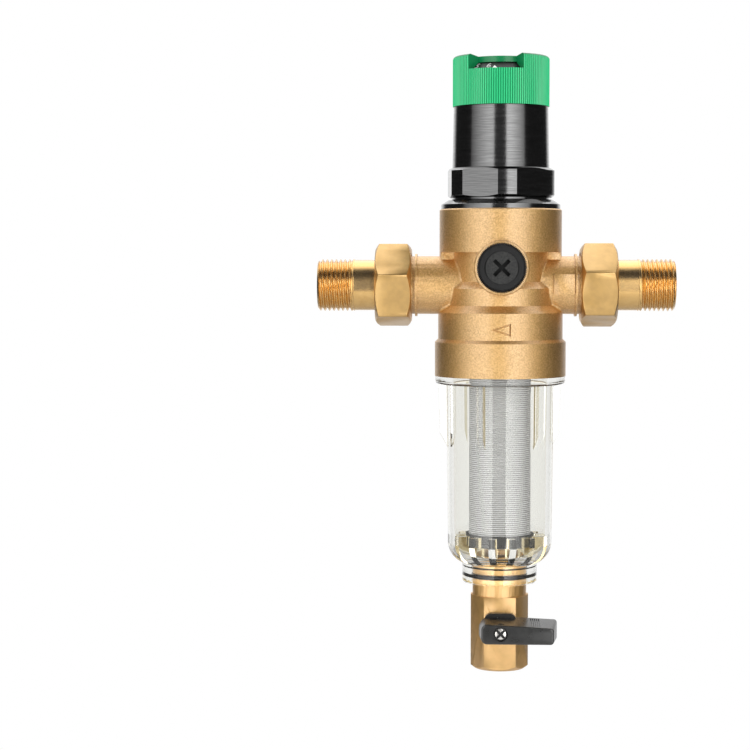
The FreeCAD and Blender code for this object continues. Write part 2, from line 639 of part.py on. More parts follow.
# ---------------------------------------------------------------------------------------------
# cast housing
# ---------------------------------------------------------------------------------------------
def housing():
    """Sand-cast brass housing: drums about Z, spigots along X, gauge bosses along Y."""
    chest_low = s.housing_top - s.chest_height
    band_high = s.waist_bottom - (s.band_radius - s.waist_radius)
    skirt_high = -s.band_depth - (s.skirt_radius - s.band_radius)
    flare_low = -s.skirt_depth - (s.collar_radius - s.skirt_radius)
    piece = Piece("housing")
    piece.turn("Z", [
        (0, housing_low),
        (s.collar_radius, housing_low),
        (s.collar_radius, flare_low),
        (s.skirt_radius, -s.skirt_depth),
        (s.skirt_radius, skirt_high),
        (s.band_radius, -s.band_depth),
        (s.band_radius, band_high),
        (s.waist_radius, s.waist_bottom),
        (s.waist_radius, chest_low),
        (s.chest_radius, chest_low),
        (s.chest_radius, s.housing_top - s.edge_break),
        (s.chest_radius - s.edge_break, s.housing_top),
        (0, s.housing_top),
    ])
    thread_edge = s.union_thread_radius - s.edge_break
    relief_start = s.union_thread_length - s.relief_ring_width
    thread_start = relief_start - s.relief_width
    piece.turn("X", [
        (-s.outlet_face, 0),
        (s.inlet_face, 0),
        (s.inlet_face, thread_edge),
        (s.inlet_face - s.edge_break, s.union_thread_radius),
        (s.inlet_face - thread_start, s.union_thread_radius),
        (s.inlet_face - thread_start, s.spigot_radius),
        (s.inlet_face - relief_start, s.spigot_radius),
        (s.inlet_face - relief_start, s.relief_ring_radius),
        (s.inlet_face - s.union_thread_length, s.relief_ring_radius),
        (s.inlet_face - s.union_thread_length, s.spigot_radius),
        (s.union_thread_length - s.outlet_face, s.spigot_radius),
        (s.union_thread_length - s.outlet_face, s.relief_ring_radius),
        (relief_start - s.outlet_face, s.relief_ring_radius),
        (relief_start - s.outlet_face, s.spigot_radius),
        (thread_start - s.outlet_face, s.spigot_radius),
        (thread_start - s.outlet_face, s.union_thread_radius),
        (s.edge_break - s.outlet_face, s.union_thread_radius),
        (-s.outlet_face, thread_edge),
    ])
    boss_edge = s.gauge_boss_radius - s.edge_break
    piece.turn("Y", [
        (-s.gauge_face, 0),
        (s.gauge_face, 0),
        (s.gauge_face, boss_edge),
        (s.gauge_face - s.edge_break, s.gauge_boss_radius),
        (s.edge_break - s.gauge_face, s.gauge_boss_radius),
        (-s.gauge_face, boss_edge),
    ], rise=s.gauge_height)
    piece.pad("Y", -s.spigot_radius - s.pad_rise, 0, outline=box(
        s.pad_centre - s.pad_half, s.pad_centre + s.pad_half,
        s.pad_height - s.pad_half, s.pad_height + s.pad_half))
    piece.round_seams(s.gauge_boss_radius, skirt_high - s.edge_break * 0.1, s.seam_round)
    web_side = s.chest_radius * math.sqrt(1 - (s.web_half.number / s.chest_radius.number) ** 2)
    for side in (1, -1):
        piece.pad("Z", s.spigot_radius * 0.8, chest_low, outline=[
            (s.insert_bore * (1.2 * side), s.web_half * -side),
            (web_side * side, s.web_half * -side, s.chest_radius),
            (web_side * side, s.web_half * side),
            (s.insert_bore * (1.2 * side), s.web_half * side),
        ])
    housing_bores(piece)


def housing_bores(piece):
    """The chambers and water ways inside the housing."""
    piece.bore("Z", [
        (0, -s.pot_depth),
        (s.insert_bore, -s.pot_depth),
        (s.insert_bore, insert_seat),
        (bonnet_bore, insert_seat),
        (bonnet_bore, s.housing_top),
        (0, s.housing_top),
    ])
    piece.bore("Z", [
        (0, housing_low),
        (s.bowl_thread_radius + s.running_play, housing_low),
        (s.bowl_thread_radius + s.running_play, thread_high + s.free_play),
        (nose_bore, thread_high + s.free_play),
        (nose_bore, -s.cavity_depth),
        (s.pot_radius, -s.cavity_depth),
        (s.pot_radius, -s.pot_depth),
        (0, -s.pot_depth),
    ])
    piece.bore("X", [
        (s.pot_radius, 0),
        (s.inlet_face, 0),
        (s.inlet_face, s.pipe_bore),
        (s.pot_radius, s.pipe_bore),
    ])
    slot_start = s.pot_radius + s.edge_break
    piece.cut("Z", -s.cavity_depth - s.edge_break, -s.pipe_bore / 2, outline=box(
        slot_start, slot_start + s.inlet_slot_reach, -s.inlet_slot_half, s.inlet_slot_half))
    piece.bore("X", [
        (-s.outlet_face, 0),
        (-s.insert_bore * 0.75, 0),
        (-s.insert_bore * 0.75, s.pipe_bore),
        (-s.outlet_face, s.pipe_bore),
    ])
    thread_end = s.gauge_face - s.gauge_thread_depth
    piece.bore("Y", [
        (-s.gauge_face, 0),
        (s.gauge_face, 0),
        (s.gauge_face, s.gauge_thread_radius),
        (thread_end, s.gauge_thread_radius),
        (thread_end, s.gauge_pilot_radius),
        (-thread_end, s.gauge_pilot_radius),
        (-thread_end, s.gauge_thread_radius),
        (-s.gauge_face, s.gauge_thread_radius),
    ], rise=s.gauge_height)


# ---------------------------------------------------------------------------------------------
# bonnet, knob and spindle
# ---------------------------------------------------------------------------------------------
def spring_bonnet():
    """Moulded bonnet: thread, flange, octagon, barrel and neck round the spring chamber."""
    spindle_hole = s.spindle_neck_radius + s.running_play
    slot_reach = s.spring_bore + s.slot_depth
    piece = Piece("spring_bonnet")
    piece.turn("Z", [
        (spindle_hole, wall_low),
        (s.spring_bore, wall_low),
        (s.spring_bore, bonnet_low),
        (s.bonnet_thread_radius, bonnet_low),
        (s.bonnet_thread_radius, s.housing_top),
        (s.flange_radius, s.housing_top),
        (s.flange_radius, s.housing_top + s.flange_rim),
        (s.flange_top_radius, flange_high),
        (s.barrel_foot_radius, flange_high),
        (s.barrel_foot_radius, wrench_high),
        (s.barrel_top_radius, barrel_high),
        (s.neck_radius, barrel_high),
        (s.neck_radius, neck_high),
        (s.neck_bore, neck_high),
        (s.neck_bore, wall_high),
        (spindle_hole, wall_high),
    ])
    hexagon = turned_polygon(s.wrench_flats, s.wrench_corner, 6, -90 - s.wrench_turn.number)
    piece.pad("Z", wrench_low, wrench_high, outline=hexagon)
    chamfer_in = s.wrench_flats * 0.49
    for end, inward in ((wrench_high, -1), (wrench_low, 1)):
        piece.bore("Z", [
            (chamfer_in, end),
            (s.wrench_corner * 1.02, end),
            (s.wrench_corner * 1.02, end + s.wrench_chamfer * inward),
        ])
    piece.cut("Z", wrench_low, wrench_high, circle=(0, 0, s.spring_bore))
    piece.cut("Z", bonnet_low, wall_low, outline=box(
        -slot_reach, slot_reach, -s.slot_half, s.slot_half))


def scale_ring():
    """Ring with the setting scale, seen through the window of the knob."""
    piece = Piece("scale_ring")
    piece.turn("Z", [
        (s.scale_bore, neck_high),
        (s.neck_radius, neck_high),
        (s.neck_radius, neck_high + s.scale_rim),
        (s.scale_top_radius, neck_high + s.scale_height),
        (s.scale_bore, neck_high + s.scale_height),
    ])


def adjusting_knob():
    """Cap-shaped knob with a hub, a square socket and a window notch in its top edge."""
    skirt_inner = s.knob_radius - s.knob_wall
    screw_hole = s.knob_screw_radius + s.running_play
    head_bore = s.knob_screw_head + s.free_play
    piece = Piece("adjusting_knob")
    piece.turn("Z", [
        (screw_hole, hub_low),
        (s.hub_radius, hub_low),
        (s.hub_radius, knob_plate_low),
        (s.window_hub, knob_plate_low),
        (skirt_inner, knob_plate_low - s.knob_plate_fall),
        (skirt_inner, knob_low),
        (s.knob_radius, knob_low),
        (s.knob_radius, knob_high - s.knob_round, s.knob_round),
        (s.knob_radius - s.knob_round, knob_high),
        (s.window_hub, knob_face),
        (head_bore, knob_face),
        (head_bore, knob_screw_seat),
        (screw_hole, knob_screw_seat),
    ])
    socket = polygon(s.spindle_square + s.running_play * 2, 4, 45)
    socket_high = hub_low + s.spindle_square_length + s.running_play
    piece.cut("Z", hub_low, socket_high, outline=socket)
    half = s.window_half.number
    first, last = (math.radians(-90 - s.window_turn.number + side) for side in (-half, half))
    beyond = s.knob_radius * (1.05 / math.cos(math.radians(half)))
    piece.cut("Z", knob_high - s.window_drop, knob_high, outline=[
        (s.window_hub * math.cos(first), s.window_hub * math.sin(first), s.window_hub),
        (s.window_hub * math.cos(last), s.window_hub * math.sin(last)),
        (beyond * math.cos(last), beyond * math.sin(last)),
        (beyond * math.cos(first), beyond * math.sin(first)),
    ])


def knob_screw():
    """Slotted screw that holds the knob on the spindle."""
    piece = Piece("knob_screw")
    low = knob_screw_seat - s.knob_screw_length
    piece.turn("Z", [
        (0, low),
        (s.knob_screw_radius, low),
        (s.knob_screw_radius, knob_screw_seat),
        (s.knob_screw_head, knob_screw_seat),
        (s.knob_screw_head, knob_face - s.edge_break),
        (0, knob_face - s.edge_break),
    ])
    slot_half = s.knob_screw_head * 0.12
    piece.cut("Z", knob_face - s.knob_screw_head_height * 0.75, knob_face, outline=box(
        -s.knob_screw_head * 1.1, s.knob_screw_head * 1.1, -slot_half, slot_half))


def adjusting_spindle():
    """Spindle: thread in the spring plate, thrust collar, bearing neck and square end."""
    piece = Piece("adjusting_spindle")
    thread_low = collar_low - s.spindle_thread_length
    piece.turn("Z", [
        (0, thread_low),
        (s.spindle_thread_radius, thread_low),
        (s.spindle_thread_radius, collar_low),
        (s.spindle_collar_radius, collar_low),
        (s.spindle_collar_radius, collar_high),
        (s.spindle_neck_radius, collar_high),
        (s.spindle_neck_radius, hub_low),
        (0, hub_low),
    ])
    square_high = hub_low + s.spindle_square_length
    piece.pad("Z", hub_low, square_high, outline=polygon(s.spindle_square, 4, 45))
    hole = s.knob_screw_radius + s.running_play
    hole_low = knob_screw_seat - s.knob_screw_length - s.edge_break
    piece.cut("Z", hole_low, square_high, circle=(0, 0, hole))


def thrust_washer():
    """Washer between the spindle's collar and the bonnet's top wall."""
    inner = s.spindle_neck_radius + s.free_play
    turned_ring("thrust_washer", inner, s.washer_radius, collar_high, wall_low)


def spring_plate():
    """Plate on the spindle's thread, kept from turning by two ears in the bonnet's slots."""
    hub_end = plate_high - s.plate_hub_height
    thread_hole = s.spindle_thread_radius + s.running_play
    ear_reach = s.spring_bore + s.slot_depth - s.free_play
    ear_half = s.slot_half - s.free_play / 2
    piece = Piece("spring_plate")
    piece.turn("Z", [
        (thread_hole, hub_end),
        (s.plate_hub_radius, hub_end),
        (s.plate_hub_radius, plate_low),
        (s.plate_radius, plate_low),
        (s.plate_radius, plate_high),
        (thread_hole, plate_high),
    ])
    inside = (s.plate_hub_radius + s.plate_radius) / 2
    for low, high in ((inside, ear_reach), (-ear_reach, -inside)):
        piece.pad("Z", plate_low, plate_high, outline=box(low, high, -ear_half, ear_half))


def set_spring():
    """Coil spring between the diaphragm plate and the spring plate, its wire drawn octagonal."""
    wire = s.wire_radius
    low = diaphragm_plate_high + wire * 1.15
    length = plate_low - wire * 1.15 - low
    spine = doc.addObject("Part::Helix", "set_spring_spine")
    bind(spine, "Radius", s.spring_radius)
    bind(spine, "Height", length)
    bind(spine, "Pitch", length / s.spring_turns)
    section = doc.addObject("Part::RegularPolygon", "set_spring_wire")
    section.Polygon = 8
    bind(section, "Circumradius", wire)
    section.Placement = FreeCAD.Placement(
        FreeCAD.Vector(0, 0, 0), FreeCAD.Rotation(FreeCAD.Vector(1, 0, 0), 90))
    bind(section, "Placement.Base.x", s.spring_radius)
    spring = doc.addObject("Part::Sweep", "set_spring")
    spring.Label = "set_spring"
    spring.Sections = [section]
    spring.Spine = (spine, ["Edge1"])
    spring.Solid = True
    spring.Frenet = True
    doc.recompute()
    bind(spring, "Placement.Base.z", low)
    pieces.append(spring)


# ---------------------------------------------------------------------------------------------
# diaphragm, insert and valve
# ---------------------------------------------------------------------------------------------
def diaphragm():
    """Rubber diaphragm with a rolled fold, clamped at its rim."""
    turned_ring("slip_ring", s.clamp_bore, s.clamp_radius, slip_ring_low, bonnet_low)
    middle = (s.diaphragm_plate_radius + s.clamp_bore) / 2
    outer_half = s.roll_radius * 0.9
    inner_half = s.roll_radius * 0.45
    piece = Piece("diaphragm")
    piece.turn("Z", [
        (stem_hole, diaphragm_low),
        (middle - outer_half, diaphragm_low, s.roll_radius),
        (middle + outer_half, diaphragm_low),
        (s.clamp_radius, diaphragm_low),
        (s.clamp_radius, slip_ring_low),
        (middle + inner_half, slip_ring_low, -(s.roll_radius * 0.5)),
        (middle - inner_half, slip_ring_low),
        (stem_hole, slip_ring_low),
    ])


def diaphragm_plate():
    """Plate that takes the spring's foot on the diaphragm."""
    ring_outer = s.spring_radius - s.wire_radius - s.free_play
    ring_inner = ring_outer - s.plate_lip
    ring_high = diaphragm_plate_high + s.plate_lip
    piece = Piece("diaphragm_plate")
    piece.turn("Z", [
        (stem_hole, slip_ring_low),
        (s.diaphragm_plate_radius, slip_ring_low),
        (s.diaphragm_plate_radius, diaphragm_plate_high),
        (ring_outer, diaphragm_plate_high),
        (ring_outer, ring_high),
        (ring_inner, ring_high),
        (ring_inner, diaphragm_plate_high),
        (stem_hole, diaphragm_plate_high),
    ])


def valve_insert():
    """Regulating insert: flange, outlet channel with windows, O-ring channels and seat."""
    outside = s.insert_bore - s.running_play
    lower_high = -s.channel_depth - s.ring_land
    lower_low = lower_high - s.ring_groove
    upper_low = s.channel_top + s.ring_land
    upper_high = upper_low + s.ring_groove
    mouth_low = diaphragm_low - s.insert_mouth_depth
    lip_root = s.seat_lip - s.seat_depth
    lip_outside = s.seat_bore + s.seat_lip * 1.5
    web_high = lip_root + s.seat_web
    piece = Piece("valve_insert")
    piece.turn("Z", [
        (s.insert_mouth, -s.insert_depth),
        (outside, -s.insert_depth),
        (outside, lower_low),
        (s.insert_waist, lower_low),
        (s.insert_waist, lower_high),
        (outside, lower_high),
        (outside, -s.channel_depth),
        (s.insert_waist, -s.channel_depth),
        (s.insert_waist, s.channel_top),
        (outside, s.channel_top),
        (outside, upper_low),
        (s.insert_waist, upper_low),
        (s.insert_waist, upper_high),
        (outside, upper_high),
        (outside, insert_seat),
        (s.clamp_radius, insert_seat),
        (s.clamp_radius, diaphragm_low),
        (s.clamp_bore, diaphragm_low),
        (s.clamp_bore, diaphragm_low - s.fold_recess),
        (s.insert_mouth, diaphragm_low - s.fold_recess),
        (s.insert_mouth, mouth_low),
        (s.insert_inner, mouth_low),
        (s.insert_inner, web_high),
        (s.seat_bore, web_high),
        (s.seat_bore, -s.seat_depth),
        (lip_outside, -s.seat_depth),
        (lip_outside, lip_root),
        (s.insert_mouth, lip_root),
    ])
    for axis in ("X", "Y"):
        piece.cut(axis, -s.insert_bore, s.insert_bore, circle=(0, 0, s.window_radius))
    cord = (s.insert_bore - s.insert_waist) / 2
    for label, low in (("insert_o_ring_upper", upper_low), ("insert_o_ring_lower", lower_low)):
        seal = Piece(label)
        middle = low + s.ring_groove / 2
        seal.turn("Z", cord_outline(s.insert_waist + cord, middle, cord))


def stem_nut(label, low):
    """Hexagon nut on one end of the stem."""
    nut = Piece(label)
    nut.pad("Z", low, low + s.stem_nut_thick, outline=polygon(s.stem_nut_flats, 6, 0))
    nut.cut("Z", low, low + s.stem_nut_thick, circle=(0, 0, stem_hole))


def valve_stem():
    """Stem from the diaphragm to the disc, with its nuts, disc and disc holder."""
    stem_low = lower_nut_low - s.edge_break
    stem_high = diaphragm_plate_high + s.stem_nut_thick + s.edge_break
    shoulder_low = diaphragm_low - s.stem_shoulder_thick
    stem = Piece("valve_stem")
    stem.turn("Z", [
        (0, stem_low),
        (s.stem_end_radius, stem_low),
        (s.stem_end_radius, disc_high),
        (s.stem_radius, disc_high),
        (s.stem_radius, shoulder_low),
        (s.stem_shoulder_radius, shoulder_low),
        (s.stem_shoulder_radius, diaphragm_low),
        (s.stem_end_radius, diaphragm_low),
        (s.stem_end_radius, stem_high),
        (0, stem_high),
    ])
    stem_nut("stem_nut", diaphragm_plate_high)
    stem_nut("disc_nut", lower_nut_low)
    turned_ring("valve_disc", stem_hole, s.disc_radius, disc_low, disc_high)
    recess = s.disc_radius + s.running_play
    rim_high = disc_high - s.disc_proud
    holder = Piece("disc_holder")
    holder.turn("Z", [
        (stem_hole, holder_low),
        (recess + s.holder_wall, holder_low),
        (recess + s.holder_wall, rim_high),
        (recess, rim_high),
        (recess, disc_low),
        (stem_hole, disc_low),
    ])


# ---------------------------------------------------------------------------------------------
# gauge plugs
# ---------------------------------------------------------------------------------------------
def slanted_slot(half_length, half_width, angle):
    """Rectangle turned by an angle in degrees, centred on the gauge port."""
    along = math.cos(math.radians(angle))
    up = math.sin(math.radians(angle))
    outline = []
    for length_side, width_side in ((-1, -1), (1, -1), (1, 1), (-1, 1)):
        across = half_length * (length_side * along) - half_width * (width_side * up)
        rise = half_length * (length_side * up) + half_width * (width_side * along)
        outline.append((across, s.gauge_height + rise))
    return outline


def gauge_plug(side, facing):
    """Plug with a cross recess and its flat seal; facing is -1 to the front, 1 to the back."""
    seal_out = s.gauge_face + s.plug_seal_thick
    head_out = seal_out + s.plug_head_thick
    shank_in = seal_out - s.plug_shank_length
    dish_floor = head_out - s.plug_dish_depth
    shank_radius = s.gauge_thread_radius - s.running_play
    piece = Piece(f"gauge_plug_{side}")
    piece.turn("Y", [(along * facing, radius) for along, radius in (
        (shank_in, as_size(0)),
        (dish_floor, as_size(0)),
        (dish_floor, s.plug_dish_radius),
        (head_out, s.plug_dish_radius + s.plug_dish_depth),
        (head_out, s.plug_head_radius - s.edge_break),
        (head_out - s.edge_break, s.plug_head_radius),
        (seal_out, s.plug_head_radius),
        (seal_out, shank_radius),
        (shank_in, shank_radius),
    )], rise=s.gauge_height)
    recess = sorted((dish_floor * facing, (dish_floor - s.plug_cross_depth) * facing),
                    key=lambda place: place.number)
    for angle in (45, -45):
        slot = slanted_slot(s.plug_cross_half, s.plug_cross_width / 2, angle)
        piece.cut("Y", recess[0], recess[1], outline=slot)
    seal = Piece(f"gauge_seal_{side}")
    seal.turn("Y", [(along * facing, radius) for along, radius in (
        (s.gauge_face, s.gauge_thread_radius),
        (seal_out, s.gauge_thread_radius),
        (seal_out, s.plug_seal_radius),
        (s.gauge_face, s.plug_seal_radius),
    )], rise=s.gauge_height)


# ---------------------------------------------------------------------------------------------
# unions
# ---------------------------------------------------------------------------------------------
def union(side, face, outward, corner_angle):
    """Gasket, tailpiece and nut of one union; outward is 1 along +X and -1 along -X."""
    def placed(outline):
        return [(along * outward, radius) for along, radius in outline]

    collar_face = face + s.gasket_thick
    collar_back = collar_face + s.tail_collar_thick
    tail_end = collar_face + s.tail_length
    thread_start = tail_end - s.tail_thread_length
    gasket = Piece(f"{side}_gasket")
    gasket.turn("X", placed([
        (face, s.pipe_bore),
        (collar_face, s.pipe_bore),
        (collar_face, s.tail_collar_radius),
        (face, s.tail_collar_radius),
    ]))
    tail = Piece(f"{side}_tailpiece")
    tail.turn("X", placed([
        (collar_face, s.pipe_bore),
        (tail_end, s.pipe_bore),
        (tail_end, s.tail_thread_radius - s.tail_thread_lead),
        (tail_end - s.tail_thread_lead, s.tail_thread_radius),
        (thread_start, s.tail_thread_radius),
        (thread_start, s.tail_shank_radius),
        (collar_back, s.tail_shank_radius),
        (collar_back, s.tail_collar_radius),
        (collar_face, s.tail_collar_radius),
    ]))
    union_nut(side, collar_back, outward, corner_angle)


def union_nut(side, collar_back, outward, corner_angle):
    """Hexagon nut that pulls the tailpiece's collar onto the gasket."""
    nut_out = collar_back + s.nut_shoulder
    nut_in = nut_out - s.nut_length
    ends = sorted((nut_in * outward, nut_out * outward), key=lambda place: place.number)
    thread_bore = s.union_thread_radius + s.running_play
    flats = (thread_bore + s.nut_wall) * 2
    shank_hole = s.tail_thread_radius + s.free_play
    nut = Piece(f"{side}_union_nut")
    nut.pad("X", ends[0], ends[1], outline=polygon(flats, 6, corner_angle))
    nut.bore("X", [(along * outward, radius) for along, radius in (
        (nut_in, as_size(0)),
        (nut_out, as_size(0)),
        (nut_out, shank_hole),
        (collar_back, shank_hole),
        (collar_back, thread_bore),
        (nut_in, thread_bore),
    )])
    for end, inward in ((nut_in, 1), (nut_out, -1)):
        nut.bore("X", [(along * outward, radius) for along, radius in (
            (end, flats * 0.48),
            (end, flats * 0.60),
            (end + flats * (0.07 * inward), flats * 0.60),
        )])


# ---------------------------------------------------------------------------------------------
# filter bowl and sieve
# ---------------------------------------------------------------------------------------------
def fins(piece, outline, half, count, swing):
    """Thin upright fins round the Z axis, the first one swung from the XZ plane."""
    drawing = piece.sketch("XZ_Plane")
    drawing.AttachmentOffset = FreeCAD.Placement(
        FreeCAD.Vector(), FreeCAD.Rotation(FreeCAD.Vector(0, 1, 0), 1))
    bind(drawing, "AttachmentOffset.Rotation.Angle", swing)
    draw_outline(drawing, outline)
    fin = piece.body.newObject("PartDesign::Pad", piece.named("fin"))
    fin.Profile = drawing
    fin.SideType = "Symmetric"
    bind(fin, "Length", half * 2)
    piece.settle(fin, True)
    piece.repeat(fin, "Z", count, True)


def filter_bowl():
    """Clear bowl: threaded mouth, collar, six outer ribs, dome with inner fins, and neck."""
    wall_foot = s.bowl_foot_radius - s.bowl_wall
    inner_turn = s.bowl_neck_radius - s.bowl_wall
    dome_inner_high = dome_high - s.edge_break
    piece = Piece("filter_bowl")
    piece.turn("Z", [
        (s.neck_thread_bore, bowl_low),
        (s.bowl_neck_radius - s.edge_break, bowl_low),
        (s.bowl_neck_radius, bowl_low + s.edge_break),
        (s.bowl_neck_radius, bowl_neck_high, s.dome_round),
        (s.bowl_foot_radius, dome_high),
        (s.bowl_top_radius, bowl_collar_low),
        (s.bowl_collar_radius - s.collar_round, bowl_collar_low, s.collar_round),
        (s.bowl_collar_radius, bowl_collar_low + s.collar_round),
        (s.bowl_collar_radius, housing_low),
        (s.bowl_thread_radius, housing_low),
        (s.bowl_thread_radius, thread_high),
        (nose_radius, thread_high),
        (nose_radius, nose_groove_low),
        (nose_radius - s.nose_groove_depth, nose_groove_low),
        (nose_radius - s.nose_groove_depth, nose_groove_high),
        (nose_radius, nose_groove_high),
        (nose_radius, nose_high),
        (s.bowl_nose_bore, nose_high),
        (s.bowl_nose_bore, bowl_collar_low),
        (wall_foot, dome_inner_high, -s.dome_inner_round),
        (inner_turn, bowl_floor),
        (s.neck_thread_bore, bowl_floor),
    ])
    inside_wall = s.bowl_foot_radius - s.bowl_wall / 2
    rib_low = bowl_collar_low - s.rib_length
    fins(piece, [
        (inside_wall, rib_low - s.rib_runout),
        (s.rib_foot_radius, rib_low),
        (s.rib_top_radius, bowl_collar_low),
        (inside_wall, bowl_collar_low),
    ], s.rib_half, s.rib_count, 0)
    fin_inner = s.sieve_ring_radius + s.free_play
    in_floor = bowl_floor - s.dome_floor * 0.4
    fins(piece, [
        (s.fin_foot_radius, in_floor),
        (s.bowl_neck_radius, in_floor - s.dome_floor * 0.2),
        (s.bowl_neck_radius + s.bowl_wall, bowl_floor + s.dome_floor * 0.6),
        (inside_wall, dome_high),
        (inside_wall, s.fin_rise + sieve_ring_low),
        (fin_inner, s.fin_rise + sieve_ring_low),
        (fin_inner, sieve_ring_low),
        (s.fin_foot_radius, sieve_ring_low),
    ], s.fin_half, s.fin_count, s.fin_swing)
    piece.place(turn=s.bowl_turn)
    seal = Piece("bowl_o_ring")
    cord = (s.nose_groove_depth + s.free_play / 2) / 2
    seal_middle = nose_radius - s.nose_groove_depth + cord
    seal.turn("Z", cord_outline(seal_middle, nose_groove_low + s.ring_groove / 2, cord))


def sieve():
    """Sieve: top ring, mesh, cage inside the mesh and bottom ring."""
    cap = Piece("sieve_top_ring")
    cap_radius = s.insert_bore - s.free_play
    cap_bore = cage_radius - s.cage_wall
    cap.turn("Z", [
        (cap_bore, sieve_cap_end),
        (cage_radius, sieve_cap_end),
        (cage_radius, sieve_cap_low),
        (cap_radius, sieve_cap_low),
        (cap_radius, sieve_cap_high),
        (cap_bore, sieve_cap_high),
    ])
    mesh_low = sieve_ring_high - s.mesh_seat
    turned_ring("sieve_mesh", mesh_inner, s.mesh_radius, mesh_low, sieve_cap_low)
    foot = Piece("sieve_bottom_ring")
    foot.turn("Z", [
        (s.sieve_ring_bore, sieve_ring_low),
        (s.sieve_ring_radius, sieve_ring_low),
        (s.sieve_ring_radius, sieve_ring_high),
        (s.mesh_radius + s.running_play, sieve_ring_high),
        (s.mesh_radius + s.running_play, mesh_low),
        (cage_radius, mesh_low),
        (cage_radius, sieve_ring_high),
        (s.sieve_ring_bore, sieve_ring_high),
    ])
    cage = turned_ring("sieve_cage", cap_bore, cage_radius, sieve_ring_high, sieve_cap_end)
    middle = (sieve_ring_high + sieve_cap_end) / 2
    tiers = ((sieve_ring_high + s.cage_hoop, middle - s.cage_hoop / 2),
             (middle + s.cage_hoop / 2, sieve_cap_end - s.cage_hoop))
    opening = s.cage_opening_half
    for low, high in tiers:
        for axis in ("X", "Y"):
            cage.cut(axis, -s.mesh_radius, s.mesh_radius, outline=box(-opening, opening, low, high))


# ---------------------------------------------------------------------------------------------
# drain valve
# ---------------------------------------------------------------------------------------------
def drain_valve_body():
    """Brass ball valve body: round neck in the bowl, hexagon with side lands, and outlet."""
    half_flats = s.drain_flats * 0.5
    corner = s.drain_flats * (0.5 * math.tan(math.radians(30)))
    land = (s.drain_flats / math.sqrt(3) - s.drain_half_width) * math.sqrt(3)
    width = s.drain_half_width
    groove_half = s.ring_groove / 2
    neck_edge = s.drain_radius - s.edge_break
    piece = Piece("drain_valve_body")
    piece.turn("Z", [
        (0, drain_hex_high),
        (s.drain_radius, drain_hex_high),
        (s.drain_radius, neck_seal_height - groove_half),
        (neck_seal_floor, neck_seal_height - groove_half),
        (neck_seal_floor, neck_seal_height + groove_half),
        (s.drain_radius, neck_seal_height + groove_half),
        (s.drain_radius, drain_high - s.edge_break),
        (neck_edge, drain_high),
        (0, drain_high),
    ])
    piece.pad("Z", drain_hex_low, drain_hex_high, outline=[
        (corner, -half_flats),
        (width, -land),
        (width, land),
        (corner, half_flats),
        (-corner, half_flats),
        (-width, land),
        (-width, -land),
        (-corner, -half_flats),
    ])
    piece.bore("Z", [
        (s.drain_flats * 0.46, drain_hex_low),
        (s.drain_flats * 0.60, drain_hex_low),
        (s.drain_flats * 0.60, drain_hex_low + s.drain_chamfer * 2),
    ])
    gland_front = -half_flats - s.gland_rise
    piece.pad("Y", gland_front, -s.ball_bore - s.edge_break,
              circle=(0, ball_height, s.gland_radius))
    piece.bore("Z", [
        (0, drain_hex_low),
        (s.outlet_thread_radius, drain_hex_low),
        (s.outlet_thread_radius, retainer_low),
        (s.ball_bore, retainer_low),
        (s.ball_bore, ball_height + s.seat_ring_far),
        (s.drain_bore, ball_height + s.seat_ring_far),
        (s.drain_bore, drain_high),
        (0, drain_high),
    ])
    piece.cut("Y", gland_front, 0, circle=(0, ball_height, s.ball_stem_radius + s.running_play))
    flange_pocket = s.ball_stem_flange + s.free_play / 2
    piece.cut("Y", -stem_flange_out - s.running_play, 0, circle=(0, ball_height, flange_pocket))


def drain_seals():
    """Slip ring and O-ring in the bowl's neck, ball seats and their retainer."""
    slip_high = bowl_neck_high - s.neck_ring_drop
    slip_inner = s.drain_radius + s.running_play
    slip_outer = s.neck_thread_bore - s.running_play
    turned_ring("neck_slip_ring", slip_inner, slip_outer, slip_high - s.neck_ring_thick, slip_high)
    seal = Piece("neck_o_ring")
    seal.turn("Z", cord_outline(neck_seal_radius, neck_seal_height, s.neck_seal_cord))
    seat_radius = s.ball_bore - s.running_play
    cone = (s.ball_radius + s.running_play) * math.sqrt(2)
    for label, facing in (("ball_seat_upper", 1), ("ball_seat_lower", -1)):
        seat = Piece(label)
        seat.turn("Z", [(radius, ball_height + along * facing) for radius, along in (
            (cone - s.seat_ring_near, s.seat_ring_near),
            (seat_radius, s.seat_ring_near),
            (seat_radius, s.seat_ring_far),
            (s.ball_port, s.seat_ring_far),
            (s.ball_port, cone - s.ball_port),
        )])
    turned_ring("seat_retainer", s.ball_port, seat_radius, retainer_low, retainer_high)


def valve_ball():
    """Ball with its port along X when shut, and a slot for the stem's tongue."""
    piece = Piece("valve_ball")
    radius = s.ball_radius
    piece.turn("Z", [(0, -radius, radius), (radius, 0, radius), (0, radius)])
    piece.cut("X", -radius, radius, circle=(0, 0, s.ball_port))
    half = s.ball_tongue_half + s.running_play
    reach = s.ball_tongue_reach + s.running_play
    slot_floor = -radius + s.ball_tongue + s.running_play
    piece.cut("Y", -radius, slot_floor, outline=box(-half, half, -reach, reach))
    piece.place(z=ball_height)


